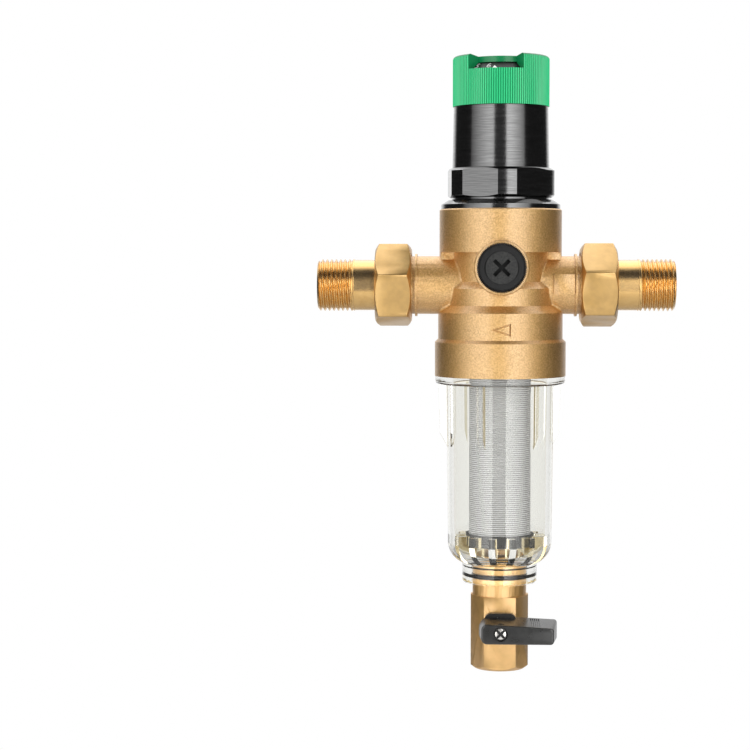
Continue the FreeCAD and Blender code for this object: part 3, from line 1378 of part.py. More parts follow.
def ball_stem():
    """Stem from the ball to the lever, kept in by a flange and sealed by an O-ring."""
    groove_out = stem_flange_out + s.stem_land + s.stem_groove
    groove_in = stem_flange_out + s.stem_land
    groove_floor = s.ball_stem_radius - s.stem_groove_depth
    piece = Piece("ball_stem")
    piece.turn("Y", [
        (-stem_flange_in, 0),
        (-stem_flange_in, s.ball_stem_flange),
        (-stem_flange_out, s.ball_stem_flange),
        (-stem_flange_out, s.ball_stem_radius),
        (-groove_in, s.ball_stem_radius),
        (-groove_in, groove_floor),
        (-groove_out, groove_floor),
        (-groove_out, s.ball_stem_radius),
        (-stem_square_start, s.ball_stem_radius),
        (-stem_square_start, 0),
    ])
    piece.pad("Y", -s.ball_stem_end, -stem_square_start, outline=polygon(s.stem_square, 4, 45))
    tongue_tip = -s.ball_radius + s.ball_tongue
    piece.pad("Y", -stem_flange_in, tongue_tip, outline=box(
        -s.ball_tongue_half, s.ball_tongue_half, -s.ball_tongue_reach, s.ball_tongue_reach))
    screw_hole = s.lever_screw_radius + s.running_play
    hole_end = -lever_recess_floor + s.lever_screw_length + s.edge_break
    piece.cut("Y", -s.ball_stem_end, hole_end, circle=(0, 0, screw_hole))
    piece.place(z=ball_height)
    cord = s.stem_groove_depth / 2
    seal = Piece("ball_stem_o_ring")
    middle = -(groove_in + s.stem_groove / 2)
    seal.turn("Y", cord_outline(middle, groove_floor + cord, cord))
    seal.place(z=ball_height)


def lever_outline(tip, heel, half):
    """Side view of the lever: a rounded heel and an upper edge that draws in to the tip."""
    return [
        (s.lever_heel_flat - heel, -half),
        (tip, -half),
        (tip, half - s.lever_tip_narrowing),
        (s.lever_heel_flat - heel, half, s.lever_round),
    ]


def drain_lever():
    """Moulded lever: a draughted hollow shell with a round boss and a hub round the stem."""
    piece = Piece("drain_lever")
    front = piece.sketch("XZ_Plane", lift=s.lever_front)
    draw_outline(front, lever_outline(s.lever_tip_front, s.lever_heel_front, s.lever_half_front))
    back = piece.sketch("XZ_Plane", lift=s.lever_back)
    draw_outline(back, lever_outline(s.lever_tip_back, s.lever_heel_back, s.lever_half_back))
    shell = piece.body.newObject("PartDesign::AdditiveLoft", "drain_lever_shell")
    shell.Profile = front
    shell.Sections = [back]
    shell.Ruled = True
    piece.settle(shell, True)
    inner_front = -s.lever_front + s.lever_front_wall
    piece.cut("Y", inner_front, -s.lever_back, outline=box(
        s.lever_heel_flat - s.lever_heel_front, s.lever_tip_front - s.lever_wall,
        s.lever_wall - s.lever_half_front,
        s.lever_half_front - s.lever_tip_narrowing - s.lever_wall))
    piece.pad("Y", inner_front, -s.lever_back, circle=(0, 0, s.lever_hub_radius))
    boss_front = -s.lever_back - s.lever_boss_thick
    piece.pad("Y", boss_front, -s.lever_back, circle=(0, 0, s.lever_boss_radius))
    socket = polygon(s.stem_square + s.running_play * 2, 4, 45)
    piece.cut("Y", -s.ball_stem_end - s.running_play, -s.lever_back, outline=socket)
    piece.cut("Y", -s.lever_front, -lever_recess_floor, circle=(0, 0, s.lever_recess_radius))
    screw_hole = s.lever_screw_radius + s.running_play
    piece.cut("Y", -lever_recess_floor, -s.ball_stem_end, circle=(0, 0, screw_hole))
    piece.place(z=ball_height)


def lever_screw():
    """Screw with a domed edge that holds the lever on the stem."""
    head_out = -lever_recess_floor - s.lever_screw_head_height
    piece = Piece("lever_screw")
    piece.turn("Y", [
        (head_out, 0),
        (head_out, s.lever_screw_head - s.edge_break),
        (head_out + s.edge_break, s.lever_screw_head),
        (-lever_recess_floor, s.lever_screw_head),
        (-lever_recess_floor, s.lever_screw_radius),
        (s.lever_screw_length - lever_recess_floor, s.lever_screw_radius),
        (s.lever_screw_length - lever_recess_floor, 0),
    ])
    piece.place(z=ball_height)


def write_steps():
    """Check every object of the document, then write one STEP file for each sub-part."""
    doc.recompute()
    for thing in doc.Objects:
        if {"Invalid", "Error"} & set(thing.State):
            raise RuntimeError(f"{thing.Name} is {thing.State}")
    for piece in pieces:
        if piece.Shape.isNull() or not piece.Shape.isValid() or not piece.Shape.Solids:
            raise RuntimeError(f"{piece.Label} has no valid solid")
    os.makedirs("parts", exist_ok=True)
    for piece in pieces:
        piece.Shape.exportStep(f"parts/{piece.Label}.step")
    print(f"{len(pieces)} sub-parts written")


housing()
spring_bonnet()
scale_ring()
adjusting_knob()
knob_screw()
adjusting_spindle()
thrust_washer()
spring_plate()
set_spring()
diaphragm()
diaphragm_plate()
valve_insert()
valve_stem()
gauge_plug("front", -1)
gauge_plug("back", 1)
union("inlet", s.inlet_face, 1, 180 - s.inlet_nut_turn.number)
union("outlet", s.outlet_face, -1, 180 - s.outlet_nut_turn.number)
filter_bowl()
sieve()
drain_valve_body()
drain_seals()
valve_ball()
ball_stem()
drain_lever()
lever_screw()
write_steps()
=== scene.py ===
# %% [markdown]
# # A filter and pressure reducing valve, dressed for the studio
# The valve sits in a water pipe, where it sieves the water and lowers its pressure. The packed
# CAD model is the frame: it fixes where every piece is and what moves with it. This file gives
# each piece its surface. A piece that is rebuilt takes its place and its outer sizes from the
# frame's boxes wherever it can, so that it stays in step with the solids.

# %% Load the frame
import json
import math

import bmesh
import bpy
from mathutils import Matrix, Vector


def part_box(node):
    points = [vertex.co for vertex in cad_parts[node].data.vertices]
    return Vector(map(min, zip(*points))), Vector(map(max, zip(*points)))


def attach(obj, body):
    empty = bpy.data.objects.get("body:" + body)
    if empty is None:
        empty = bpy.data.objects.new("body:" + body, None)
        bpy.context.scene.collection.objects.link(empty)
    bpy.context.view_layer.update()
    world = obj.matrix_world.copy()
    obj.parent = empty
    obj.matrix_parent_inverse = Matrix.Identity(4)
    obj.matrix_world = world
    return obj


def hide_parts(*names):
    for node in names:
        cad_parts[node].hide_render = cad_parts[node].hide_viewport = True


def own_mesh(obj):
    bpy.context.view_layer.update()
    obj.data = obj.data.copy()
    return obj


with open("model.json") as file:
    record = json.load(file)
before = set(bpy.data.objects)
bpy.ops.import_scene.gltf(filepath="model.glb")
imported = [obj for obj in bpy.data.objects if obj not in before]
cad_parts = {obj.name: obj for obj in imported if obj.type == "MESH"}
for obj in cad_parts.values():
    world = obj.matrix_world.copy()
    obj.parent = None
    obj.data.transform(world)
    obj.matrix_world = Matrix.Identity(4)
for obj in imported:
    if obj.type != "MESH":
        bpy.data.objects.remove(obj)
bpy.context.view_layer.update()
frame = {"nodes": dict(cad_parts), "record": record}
MM = 0.001

# %% [markdown]
# ## The camera
# A wide lens close by would swell the knob and shrink the ends of the pipe. A long lens a
# little under a metre away keeps the round parts true. It stands just above the height of the
# pipe and aims low and to one side of the valve, which leaves free space on that side.

# %% Camera
CAMERA_PLACE = (-0.015, -0.810, 0.009)
AIMED_AT = (-0.0507, 0, -0.0365)

camera_data = bpy.data.cameras.new("studio_camera")
camera_data.lens = 96
camera_data.sensor_width = 36
camera_data.clip_start = 0.05
camera = bpy.data.objects.new("studio_camera", camera_data)
bpy.context.scene.collection.objects.link(camera)
camera.location = CAMERA_PLACE
aim = Vector(AIMED_AT) - camera.location
camera.rotation_euler = aim.to_track_quat("-Z", "Y").to_euler()
bpy.context.scene.camera = camera
print("camera distance", round(aim.length, 3))

# %% [markdown]
# ## Shader maths as Python
# A finish is mostly a sum of masks, and nodes linked by hand would hide the sum. The class
# below wraps a node socket instead, so that `1 - mask * 0.5` adds the Math nodes by itself.
# `Nodes.node` makes any other node: its settings come first, then values or links.

# %% Socket wrapper
class Wire:
    """A node socket that can be added, multiplied and compared like a number."""

    def __init__(self, owner, socket):
        self.owner = owner
        self.socket = socket

    def maths(self, operation, first, second):
        return self.owner.node("ShaderNodeMath", {0: first, 1: second}, operation=operation)

    def __add__(self, other):
        return self.maths("ADD", self, other)

    def __radd__(self, other):
        return self.maths("ADD", other, self)

    def __sub__(self, other):
        return self.maths("SUBTRACT", self, other)

    def __rsub__(self, other):
        return self.maths("SUBTRACT", other, self)

    def __mul__(self, other):
        return self.maths("MULTIPLY", self, other)

    def __rmul__(self, other):
        return self.maths("MULTIPLY", other, self)

    def __truediv__(self, other):
        return self.maths("DIVIDE", self, other)

    def __rtruediv__(self, other):
        return self.maths("DIVIDE", other, self)

    def __gt__(self, other):
        return self.maths("GREATER_THAN", self, other)

    def __lt__(self, other):
        return self.maths("LESS_THAN", self, other)

    def within(self, low, high):
        """This value stretched from low..high to 0..1 and clamped there."""
        sockets = {"Value": self, "From Min": low, "From Max": high}
        return self.owner.node("ShaderNodeMapRange", sockets)

    def or_more(self, other):
        """The larger of the two."""
        return self.maths("MAXIMUM", self, other)


print("a socket can now be reckoned with")

# %% Node trees
class Nodes:
    """A node tree that is filled by calls."""

    def __init__(self, tree):
        self.tree = tree
        self.tree.nodes.clear()

    def node(self, kind, sockets, output=0, **settings):
        """Any node: settings first, then a value or link, or a list of links, by socket."""
        made = self.tree.nodes.new(kind)
        for name, value in settings.items():
            setattr(made, name, value)
        for key, value in sockets.items():
            for one in value if isinstance(value, list) else [value]:
                if isinstance(one, Wire):
                    self.tree.links.new(one.socket, made.inputs[key])
                else:
                    made.inputs[key].default_value = one
        return Wire(self, made.outputs[output])

    def split(self, vector):
        """The X, Y and Z of a vector."""
        first = self.node("ShaderNodeSeparateXYZ", {0: vector})
        return [Wire(self, part) for part in first.socket.node.outputs]

    def ray(self, label):
        """What the Light Path node knows of the ray that is being followed."""
        return self.node("ShaderNodeLightPath", {}, output=label)

    def output(self, shader, kind="ShaderNodeOutputMaterial"):
        """Hand a shader to a new output node."""
        end = self.tree.nodes.new(kind)
        self.tree.links.new(shader.socket, end.inputs["Surface"])


print("a tree can now be filled by calls")

# %% Finishes
class Finish(Nodes):
    """One material, or the world, and the nodes that make it."""

    def __init__(self, name, made=None):
        self.material = made or bpy.data.materials.new(name)
        self.material.use_nodes = True
        super().__init__(self.material.node_tree)

    def place(self, stretch=(1, 1, 1)):
        """Object coordinates in millimetres, stretched along each axis."""
        where = self.node("ShaderNodeTexCoord", {}, output="Object")
        scale = tuple(s / MM for s in stretch)
        return self.node("ShaderNodeMapping", {"Vector": where, "Scale": scale})

    def noise(self, scale, detail=2.0, stretch=(1, 1, 1)):
        """Soft random grain, its scale in features per millimetre."""
        sockets = {"Vector": self.place(stretch), "Scale": scale, "Detail": detail}
        return self.node("ShaderNodeTexNoise", sockets)

    def blend(self, factor, first, second):
        """The second colour over the first by a factor."""
        sockets = {0: factor, 6: self.rgba(first), 7: self.rgba(second)}
        return self.node("ShaderNodeMix", sockets, output=2, data_type="RGBA")

    def rgba(self, colour):
        """A colour with its fourth number, or the wire that carries a colour."""
        return colour if isinstance(colour, Wire) else (*colour, 1)

    def bump(self, height, depth):
        """A normal that shows a height; depth is what a height of 1 stands for, in mm."""
        sockets = {"Height": height, "Distance": depth * MM, "Strength": 1.0}
        return self.node("ShaderNodeBump", sockets)

    def surface(self, colour, **sockets):
        """The Principled shader, its sockets given by their names in small letters."""
        filled = {"Base Color": self.rgba(colour)}
        for key, value in sockets.items():
            filled[key.replace("_", " ").title().replace("Ior", "IOR")] = value
        self.output(self.node("ShaderNodeBsdfPrincipled", filled))
        return self.material


print("a finish can now be mixed from noise, colours and bumps")

# %% [markdown]
# ## Two softboxes
# A turned black barrel shows its surroundings like a curved mirror, and a small lamp would be
# a hot dot on it. Two tall softboxes, left and right of the camera with a dark gap between
# them, draw one band down each side of every round part instead. Each is weaker towards its
# outer side, so that the band fades round the barrel and doesn't stop in a line.

# %% Softboxes
LAMP_DISTANCE = 0.9
LAMP_HEIGHT = 0.02
LAMP_TALL = 0.90
LAMPS_FACE = Vector((0, 0, -0.03))
FADE = (0.05, 0.75)


def softbox(name, bearing, width, radiance, outer):
    """A tall area lamp that fades outwards; its bearing is in degrees right of the camera."""
    lamp = bpy.data.lights.new(name, "AREA")
    lamp.shape = "RECTANGLE"
    lamp.size = width
    lamp.size_y = LAMP_TALL
    lamp.energy = radiance * math.pi * width * LAMP_TALL
    lamp.use_nodes = True
    glow = Nodes(lamp.node_tree)
    across = glow.split(glow.node("ShaderNodeNewGeometry", {}, output="Parametric"))[0]
    inner = across if bearing < 0 else 1 - across
    strength = outer + (1 - outer) * inner.within(*FADE)
    shine = glow.node("ShaderNodeEmission", {"Strength": strength})
    glow.output(shine, "ShaderNodeOutputLight")
    holder = bpy.data.objects.new(name, lamp)
    bpy.context.scene.collection.objects.link(holder)
    turn = math.radians(bearing)
    holder.location = (LAMP_DISTANCE * math.sin(turn), -LAMP_DISTANCE * math.cos(turn),
                       LAMP_HEIGHT)
    facing = LAMPS_FACE - holder.location
    holder.rotation_euler = facing.to_track_quat("-Z", "Y").to_euler()
    print(name, "at", [round(c, 3) for c in holder.location])


softbox("softbox_left", -46, 1.00, 2.8, outer=0.2)
softbox("softbox_right", 34, 0.74, 3.5, outer=0.3)

# %% [markdown]
# ## The room
# The valve stands before a white wall in a room with dark sides. A world that is white all
# round would wash the brass out, and a modelled room would slow every render, so the world
# paints the room by direction. Gloss finds a white wall behind the valve, a bright ceiling
# over it, a grey ground and dark sides. Soft light finds an even grey. The camera sees plain
# white, also through clear parts.

# %% World
DARK_SIDES = 0.03
CEILING = 2.1
GROUND = 0.45
BEHIND_CAMERA = 0.09
INSIDE_PLASTIC = 0.85
SOFT_GREY = 0.55


def studio_world():
    """White to the camera and through clear parts, a dark-sided room to gloss, grey to the rest."""
    world = Finish("studio_world", bpy.data.worlds.new("studio_world"))
    direction = world.node("ShaderNodeTexCoord", {}, output="Generated")
    _, depth, height = world.split(direction)
    wall = depth.within(0.72, 0.88)
    ceiling = height.within(0.30, 0.60) * depth.within(-0.30, 0.10) * CEILING
    ground = height.within(-0.30, -0.55) * GROUND
    camera_side = depth.within(-0.80, -0.96) * BEHIND_CAMERA
    room = DARK_SIDES + wall.or_more(ceiling) + ground + camera_side
    inside = world.ray("Transmission Depth") > 0.5
    gloss = world.ray("Is Glossy Ray")
    level = gloss * room.or_more(inside * INSIDE_PLASTIC) + (1 - gloss) * SOFT_GREY
    white = world.ray("Is Camera Ray").or_more(world.ray("Is Transmission Ray"))
    strength = white + (1 - white) * level
    shader = world.node("ShaderNodeBackground", {"Color": (1, 1, 1, 1), "Strength": strength})
    world.output(shader, "ShaderNodeOutputWorld")
    return world.material


bpy.context.scene.world = studio_world()
bpy.context.scene.view_settings.view_transform = "Standard"
print("world nodes", len(bpy.context.scene.world.node_tree.nodes))

# %% [markdown]
# ## Floor
# The valve hangs free before the white, so a floor isn't needed to carry it, but without one
# nothing would catch its shadow in the other views. A pale disc lies well below it. A little
# emission that only the camera sees lifts the disc towards the white of the wall.

# %% Floor
FLOOR_HEIGHT = -0.45
FLOOR_RADIUS = 0.95
FLOOR_CORNERS = 96


def pale_floor():
    """A round pale floor."""
    outline = [(FLOOR_RADIUS * math.cos(a), FLOOR_RADIUS * math.sin(a), FLOOR_HEIGHT)
               for a in (math.tau * k / FLOOR_CORNERS for k in range(FLOOR_CORNERS))]
    mesh = bpy.data.meshes.new("studio_floor")
    mesh.from_pydata(outline, [], [tuple(range(FLOOR_CORNERS))])
    floor = bpy.data.objects.new("studio_floor", mesh)
    bpy.context.scene.collection.objects.link(floor)
    paint = Finish("floor_paint")
    mesh.materials.append(paint.surface(
        (0.8, 0.8, 0.8), roughness=0.9, emission_color=paint.ray("Is Camera Ray"),
        emission_strength=0.35))


pale_floor()
print("floor", round(-FLOOR_HEIGHT, 2), "m below the pipe")

# %% [markdown]
# ## Cast brass
# The housing is sand cast and keeps its raw skin, a fine grain that breaks the light up. Real
# grains in the mesh would need millions of faces. Noise with a bump costs none, and because it
# reads Object coordinates it stays on the metal when the valve moves. The same noise gives the
# tone: the tops of the grains are pale and the pits are dull. A rough coat over the metal adds
# a broad soft shine, and all the brass shares it.

# %% Cast brass
SHEEN = {"coat_weight": 0.7, "coat_roughness": 0.35, "coat_ior": 2.0}
PIT = (0.53, 0.295, 0.075)
GRAIN_TOP = (0.77, 0.490, 0.195)
CLOUDED = (0.70, 0.415, 0.135)


def cast_brass():
    """Sand cast brass: pale specks on the tops of the grains, darker pits between."""
    finish = Finish("cast_brass")
    grain = finish.noise(1.7, detail=3)
    fine = finish.noise(4.2)
    cloud = finish.noise(0.12)
    tone = finish.blend(grain.within(0.38, 0.64), PIT, GRAIN_TOP)
    tone = finish.blend(cloud.within(0.35, 0.65) * 0.35, tone, CLOUDED)
    skin = grain * 0.7 + fine * 0.3
    return finish.surface(tone, metallic=1.0, roughness=0.40 + 0.16 * fine,
                          normal=finish.bump(skin, 0.30), **SHEEN)


CAST = cast_brass()
print("cast brass nodes", len(CAST.node_tree.nodes))

# %% [markdown]
# ## Brass from bar
# The nuts, the tailpieces and the drain valve are cut from bar, so they are smoother than the
# casting. The lathe leaves faint rings round a tailpiece, and the flats of a hexagon are a
# little matt. One function makes all three from the same nodes: noise that is drawn out across
# the axis for the rings, and fine noise for the grit.

# %% Bar brass
def bar_brass(name, rough, low, high, rings=0.0, lie=(1, 1, 1), grit=0.0):
    """Brass from bar: tool rings along one axis, and grit where the flats are matt."""
    finish = Finish(name)
    cloud = finish.noise(0.30)
    tool = finish.noise(6.0, detail=1, stretch=lie)
    speck = finish.noise(2.2)
    tone = finish.blend(cloud.within(0.35, 0.65), low, high)
    height = tool * rings + speck * grit
    return finish.surface(tone, metallic=1.0, roughness=rough + 0.10 * cloud,
                          normal=finish.bump(height, 1.0), **SHEEN)


TURNED = bar_brass("turned_brass", 0.20, (0.68, 0.395, 0.100), (0.74, 0.450, 0.130),
                   rings=0.002, lie=(1, 0.02, 0.02))
NUT_BRASS = bar_brass("nut_brass", 0.36, (0.53, 0.308, 0.070), (0.61, 0.362, 0.090), grit=0.035)
DRAIN_BRASS = bar_brass("drain_brass", 0.46, (0.71, 0.428, 0.135), (0.79, 0.478, 0.165),
                        grit=0.03)
print("bar brass", TURNED.name, NUT_BRASS.name, DRAIN_BRASS.name)

# %% [markdown]
# ## Moulded plastics and rubber
# The scale ring, the lever, the sieve's frame and the seals are moulded. Plain black would look
# like a hole, since no real plastic is quite black or quite even. So each finish wanders
# between two close tones and has a faint grain in its gloss.

# %% Moulded finishes
def moulded(name, dark, light, rough, grain_depth=0.01, scale=1.5, **more):
    """A moulded plastic with a faint grain and uneven gloss."""
    finish = Finish(name)
    grain = finish.noise(scale)
    tone = finish.blend(grain.within(0.3, 0.7), dark, light)
    return finish.surface(tone, roughness=rough + 0.1 * grain,
                          normal=finish.bump(grain, grain_depth), **more)


DIAL = moulded("dial_black", (0.006, 0.006, 0.006), (0.012, 0.012, 0.012), 0.35)
LEVER = moulded("lever_grey", (0.011, 0.011, 0.010), (0.013, 0.013, 0.012), 0.24,
                grain_depth=0.002, scale=0.4, specular_ior_level=0.8)
SIEVE_GREY = moulded("sieve_grey", (0.014, 0.014, 0.014), (0.024, 0.024, 0.023), 0.55)
RUBBER = moulded("black_rubber", (0.006, 0.006, 0.006), (0.012, 0.012, 0.012), 0.36)
SLIP = moulded("slip_white", (0.62, 0.61, 0.58), (0.70, 0.69, 0.66), 0.40)
print("moulded", DIAL.name, LEVER.name, SIEVE_GREY.name, RUBBER.name, SLIP.name)

# %% [markdown]
# ## The black barrel
# The spring bonnet has a satin skin, and hair lines run round it. Modelled lines would be far
# too many, and an even roughness would give a flat band of light. Noise that is short along the
# axis and long round it draws the lines, in the bump and also in the weight of a clear coat,
# so that the band breaks up in streaks.

# %% Barrel finish
def brushed_black():
    """Black barrel with a satin skin: hair lines run round it and shine unevenly."""
    finish = Finish("black_plastic")
    hair = finish.noise(1.0, detail=3, stretch=(0.12, 0.12, 3.0))
    line = hair.within(0.35, 0.65)
    return finish.surface((0.002, 0.002, 0.002), roughness=0.12 + 0.10 * line,
                          specular_ior_level=1.0, coat_weight=0.35 + 0.65 * line,
                          coat_roughness=0.13, coat_ior=1.75, normal=finish.bump(hair, 0.02))


BLACK = brushed_black()
print("barrel finish", BLACK.name)

# %% [markdown]
# ## The knob's green
# The green of the knob looks paler on the crests of its flutes, where light passes a little way
# through the plastic, and deeper in the valleys. True scattering would cost time and would be lost
# in an export, so that light is painted into the colour instead: a painted glow on the crests and
# painted shade in the valleys. The distance from the axis tells crest from valley just as well.

# %% Knob finish
FLUTES = 128
FLUTE_DEPTH = 0.42
knob_low, knob_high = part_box("adjusting_knob")
KNOB_RADIUS = knob_high[0] / MM
VALLEY_SHADE_GREEN = (0.004, 0.19, 0.062)
CREST_LIT_GREEN = (0.040, 0.57, 0.235)


def fluted_green():
    """Green plastic with painted light on the crests of the flutes and painted shade in the
    valleys.
    """
    finish = Finish("green_plastic")
    spot = finish.place()
    flat = finish.node("ShaderNodeVectorMath", {0: spot, 1: (1, 1, 0)}, operation="MULTIPLY")
    reach = finish.node("ShaderNodeVectorMath", {0: flat}, output=1, operation="LENGTH")
    grain = finish.noise(1.5)
    crest = reach.within(KNOB_RADIUS - FLUTE_DEPTH, KNOB_RADIUS - FLUTE_DEPTH * 0.3)
    # Painted light on the crests and painted shade in the valleys.
    tone = finish.blend(crest, VALLEY_SHADE_GREEN, CREST_LIT_GREEN)
    return finish.surface(tone, roughness=0.20 + 0.1 * grain, specular_ior_level=0.35,
                          normal=finish.bump(grain, 0.01))


GREEN = fluted_green()
print("flutes", FLUTES, "on a radius of", round(KNOB_RADIUS, 2))

# %% [markdown]
# ## The gauge plug's black
# A moulded plug closes each gauge port. Its face is a satin dish inside a rim that is painted
# darker, and the place where it is driven is a pit, painted near black as shade. One material finds
# these zones by their distance from the plug's axis and their depth behind its face. Three
# materials on one mesh would need its faces sorted by hand.

# %% Plug finish
plug_low, plug_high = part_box("gauge_plug_front")
PORT_HEIGHT = (plug_low[2] + plug_high[2]) / 2 / MM
PLUG_FACE = -plug_low[1] / MM
RIM_STARTS = (6.2, 6.6)
PIT_DEPTH = (0.7, 0.9)
PIT_SQUARE_REACH = (34, 28)
DISH_DARK = (0.012, 0.012, 0.012)
DISH_LIGHT = (0.034, 0.034, 0.032)
RIM_BLACK = (0.007, 0.007, 0.007)
PIT_SHADE_BLACK = (0.001, 0.001, 0.001)


def plug_black():
    """Moulded plug: a satin dish in a rim painted darker, and painted black shade in the pit where
    it is driven.
    """
    finish = Finish("plug_grey")
    grain = finish.noise(1.6)
    sideways, depth, height = finish.split(finish.place())
    rise = height - PORT_HEIGHT
    spread = sideways * sideways + rise * rise
    rim = spread.within(*(edge ** 2 for edge in RIM_STARTS))
    sunk = (depth * depth).within(*((PLUG_FACE - down) ** 2 for down in PIT_DEPTH))
    pit = sunk * spread.within(*PIT_SQUARE_REACH)
    tone = finish.blend(grain.within(0.3, 0.7), DISH_DARK, DISH_LIGHT)
    # The rim is painted darker than the dish, and the pit is painted near black as shade.
    tone = finish.blend(rim, tone, RIM_BLACK)
    tone = finish.blend(pit, tone, PIT_SHADE_BLACK)
    return finish.surface(tone, roughness=0.26 + 0.1 * grain + 0.5 * pit,
                          normal=finish.bump(grain, 0.01))


PLUG = plug_black()
print("ports at", round(PORT_HEIGHT, 2), "mm, plug faces at", round(PLUG_FACE, 2), "mm")

# %% [markdown]
# ## Steel
# Screws, springs and plates are plated steel, and the ball of the drain valve is chromed. Both
# are a grey metal whose roughness wanders a little. Only the ball is close to a mirror.

# %% Steel finishes
def steel(name, tone, rough):
    """Bare or plated steel."""
    finish = Finish(name)
    cloud = finish.noise(0.8)
    return finish.surface(tone, metallic=1.0, roughness=rough + 0.1 * cloud)


STEEL = steel("steel", (0.62, 0.61, 0.59), 0.28)
CHROME = steel("ball_chrome", (0.72, 0.72, 0.72), 0.05)
print("steel", STEEL.name, CHROME.name)

# %% [markdown]
# ## Clear plastic
# The bowl is moulded from a clear plastic with a faint warm tint. A plain transparent material
# would show no thickness, so this one bends light as plastic does. Two helps go with it. Light
# can bounce in the ribs for longer than a render follows it, which would end in black lines, so
# a deep ray passes straight on through an amber tint, the tint of a long way in the plastic.
# Shadow rays and soft rays pass straight on too, or the bowl would keep the light from the
# sieve inside it.

# %% Clear plastic
CLEAR_TINT = (0.925, 0.925, 0.897, 1)
THIN_TINT = (0.93, 0.935, 0.915, 1)
DEEP_TINT = (0.76, 0.71, 0.58, 1)
DEEP_RAY = 4.5


def clear_plastic():
    """Clear moulded plastic with a faint warm tint."""
    finish = Finish("clear_plastic")
    body = finish.node("ShaderNodeBsdfPrincipled", {
        "Base Color": CLEAR_TINT, "Roughness": 0.03, "IOR": 1.45, "Transmission Weight": 1.0})
    amber = finish.node("ShaderNodeBsdfTransparent", {"Color": DEEP_TINT})
    open_air = finish.node("ShaderNodeBsdfTransparent", {"Color": THIN_TINT})
    deep = finish.ray("Ray Depth") > DEEP_RAY
    body = finish.node("ShaderNodeMixShader", {0: deep, 1: body, 2: amber})
    passes = finish.ray("Is Shadow Ray").or_more(finish.ray("Is Diffuse Ray"))
    finish.output(finish.node("ShaderNodeMixShader", {0: passes, 1: body, 2: open_air}))
    return finish.material


CLEAR = clear_plastic()
FINISH_OF_SLOT = {
    "cast_brass": CAST, "turned_brass": TURNED, "black_plastic": BLACK, "green_plastic": GREEN,
    "dial_black": DIAL, "plug_grey": PLUG, "lever_grey": LEVER, "sieve_grey": SIEVE_GREY,
    "steel": STEEL, "ball_chrome": CHROME, "black_rubber": RUBBER, "slip_white": SLIP,
    "clear_plastic": CLEAR,
}
print("finishes by slot", len(FINISH_OF_SLOT))

# %% [markdown]
# ## Tools for shaping
# A CAD mesh is exact, but its edges are dead sharp and light never catches on them. The CAD
# mesh itself stays as packed, so `copy_of` takes a welded copy of it to work on. `carve` cuts
# with an exact boolean, because a sculpted or subdivided copy would drift from the solid.
# `ease` rounds the sharp edges, and `dress` gives the finished piece its material and its body, and
# hides the CAD node that it stands for.

# %% Objects and modifiers
BODY_OF = {node: body for body, nodes in frame["record"]["behaviour"]["bodies"].items()
           for node in nodes}
SAME_POINT = 0.001
FLAT_ANGLE = 0.5
BEVEL_STEPS = 3


def stand(name, mesh):
    """A new object at the origin that shows a mesh."""
    obj = bpy.data.objects.new(name, mesh)
    bpy.context.scene.collection.objects.link(obj)
    return obj


def weld(mesh, outwards=True):
    """Merge double points and, on one plain shell, turn the faces outwards."""
    work = bmesh.new()
    work.from_mesh(mesh)
    bmesh.ops.remove_doubles(work, verts=work.verts, dist=SAME_POINT * MM)
    if outwards:
        bmesh.ops.recalc_face_normals(work, faces=work.faces)
    work.to_mesh(mesh)
    work.free()
    return mesh


def copy_of(node):
    """A welded copy of a CAD node to work on."""
    source = frame["nodes"][node]
    mesh = source.data.copy()
    mesh.transform(source.matrix_world)
    if "custom_normal" in mesh.attributes:
        mesh.attributes.remove(mesh.attributes["custom_normal"])
    return stand(f"{node}_dressed", weld(mesh, outwards=False))


def applied(obj):
    """The object with its modifiers made into plain mesh."""
    graph = bpy.context.evaluated_depsgraph_get()
    mesh = bpy.data.meshes.new_from_object(obj.evaluated_get(graph))
    obj.modifiers.clear()
    obj.data = mesh
    return obj


# %% Cutting, rounding and dressing
def carve(obj, tool, operation="DIFFERENCE"):
    """Cut a tool from the object, or keep what both fill, and remove the tool."""
    cut = obj.modifiers.new("carve", "BOOLEAN")
    cut.operation = operation
    cut.solver = "EXACT"
    cut.object = tool
    applied(obj)
    bpy.data.objects.remove(tool)
    return obj


def ease(obj, width, angle=32):
    """Join coplanar facets, then round the edges that are sharper than an angle."""
    work = bmesh.new()
    work.from_mesh(obj.data)
    bmesh.ops.dissolve_limit(work, angle_limit=math.radians(FLAT_ANGLE), verts=work.verts,
                             edges=work.edges)
    work.to_mesh(obj.data)
    work.free()
    bevel = obj.modifiers.new("ease", "BEVEL")
    bevel.width = width * MM
    bevel.segments = BEVEL_STEPS
    bevel.limit_method = "ANGLE"
    bevel.angle_limit = math.radians(angle)
    bevel.harden_normals = True
    return applied(obj)


def dress(obj, node, finish, crease=32, stands=True):
    """Material, smooth shading and body of a finished piece, and its CAD node hidden."""
    obj.data.materials.clear()
    obj.data.materials.append(finish)
    obj.data.polygons.foreach_set("material_index", [0] * len(obj.data.polygons))
    obj.data.shade_smooth()
    obj.data.set_sharp_from_angle(angle=math.radians(crease))
    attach(obj, BODY_OF[node])
    if stands:
        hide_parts(node)
    print(obj.name, len(obj.data.polygons), "faces")
    return obj


print("shaping tools ready")

# %% [markdown]
# ## Turned and straight forms
# Most tools and several pieces are turned or are straight bars. Blender's own cylinders would
# do for the plain ones, but a thread, a knurl or a rounded lever isn't plain. So `looped` joins
# any row of outlines to a closed ring of skin, and `bar` stands one outline up between two
# heights. Both give one shell with its faces outwards, as an exact boolean needs.

# %% Rings and bars
TO_AXIS = {
    "X": Matrix.Rotation(math.pi / 2, 4, "Y"),
    "Y": Matrix.Rotation(-math.pi / 2, 4, "X"),
    "Z": Matrix.Identity(4),
}


def skinned(name, points, faces, axis="Z"):
    """An object of points in millimetres, drawn round the Z axis and laid along another."""
    mesh = bpy.data.meshes.new(name)
    mesh.from_pydata([Vector(spot) * MM for spot in points], [], faces)
    mesh.transform(TO_AXIS[axis])
    return stand(name, weld(mesh))


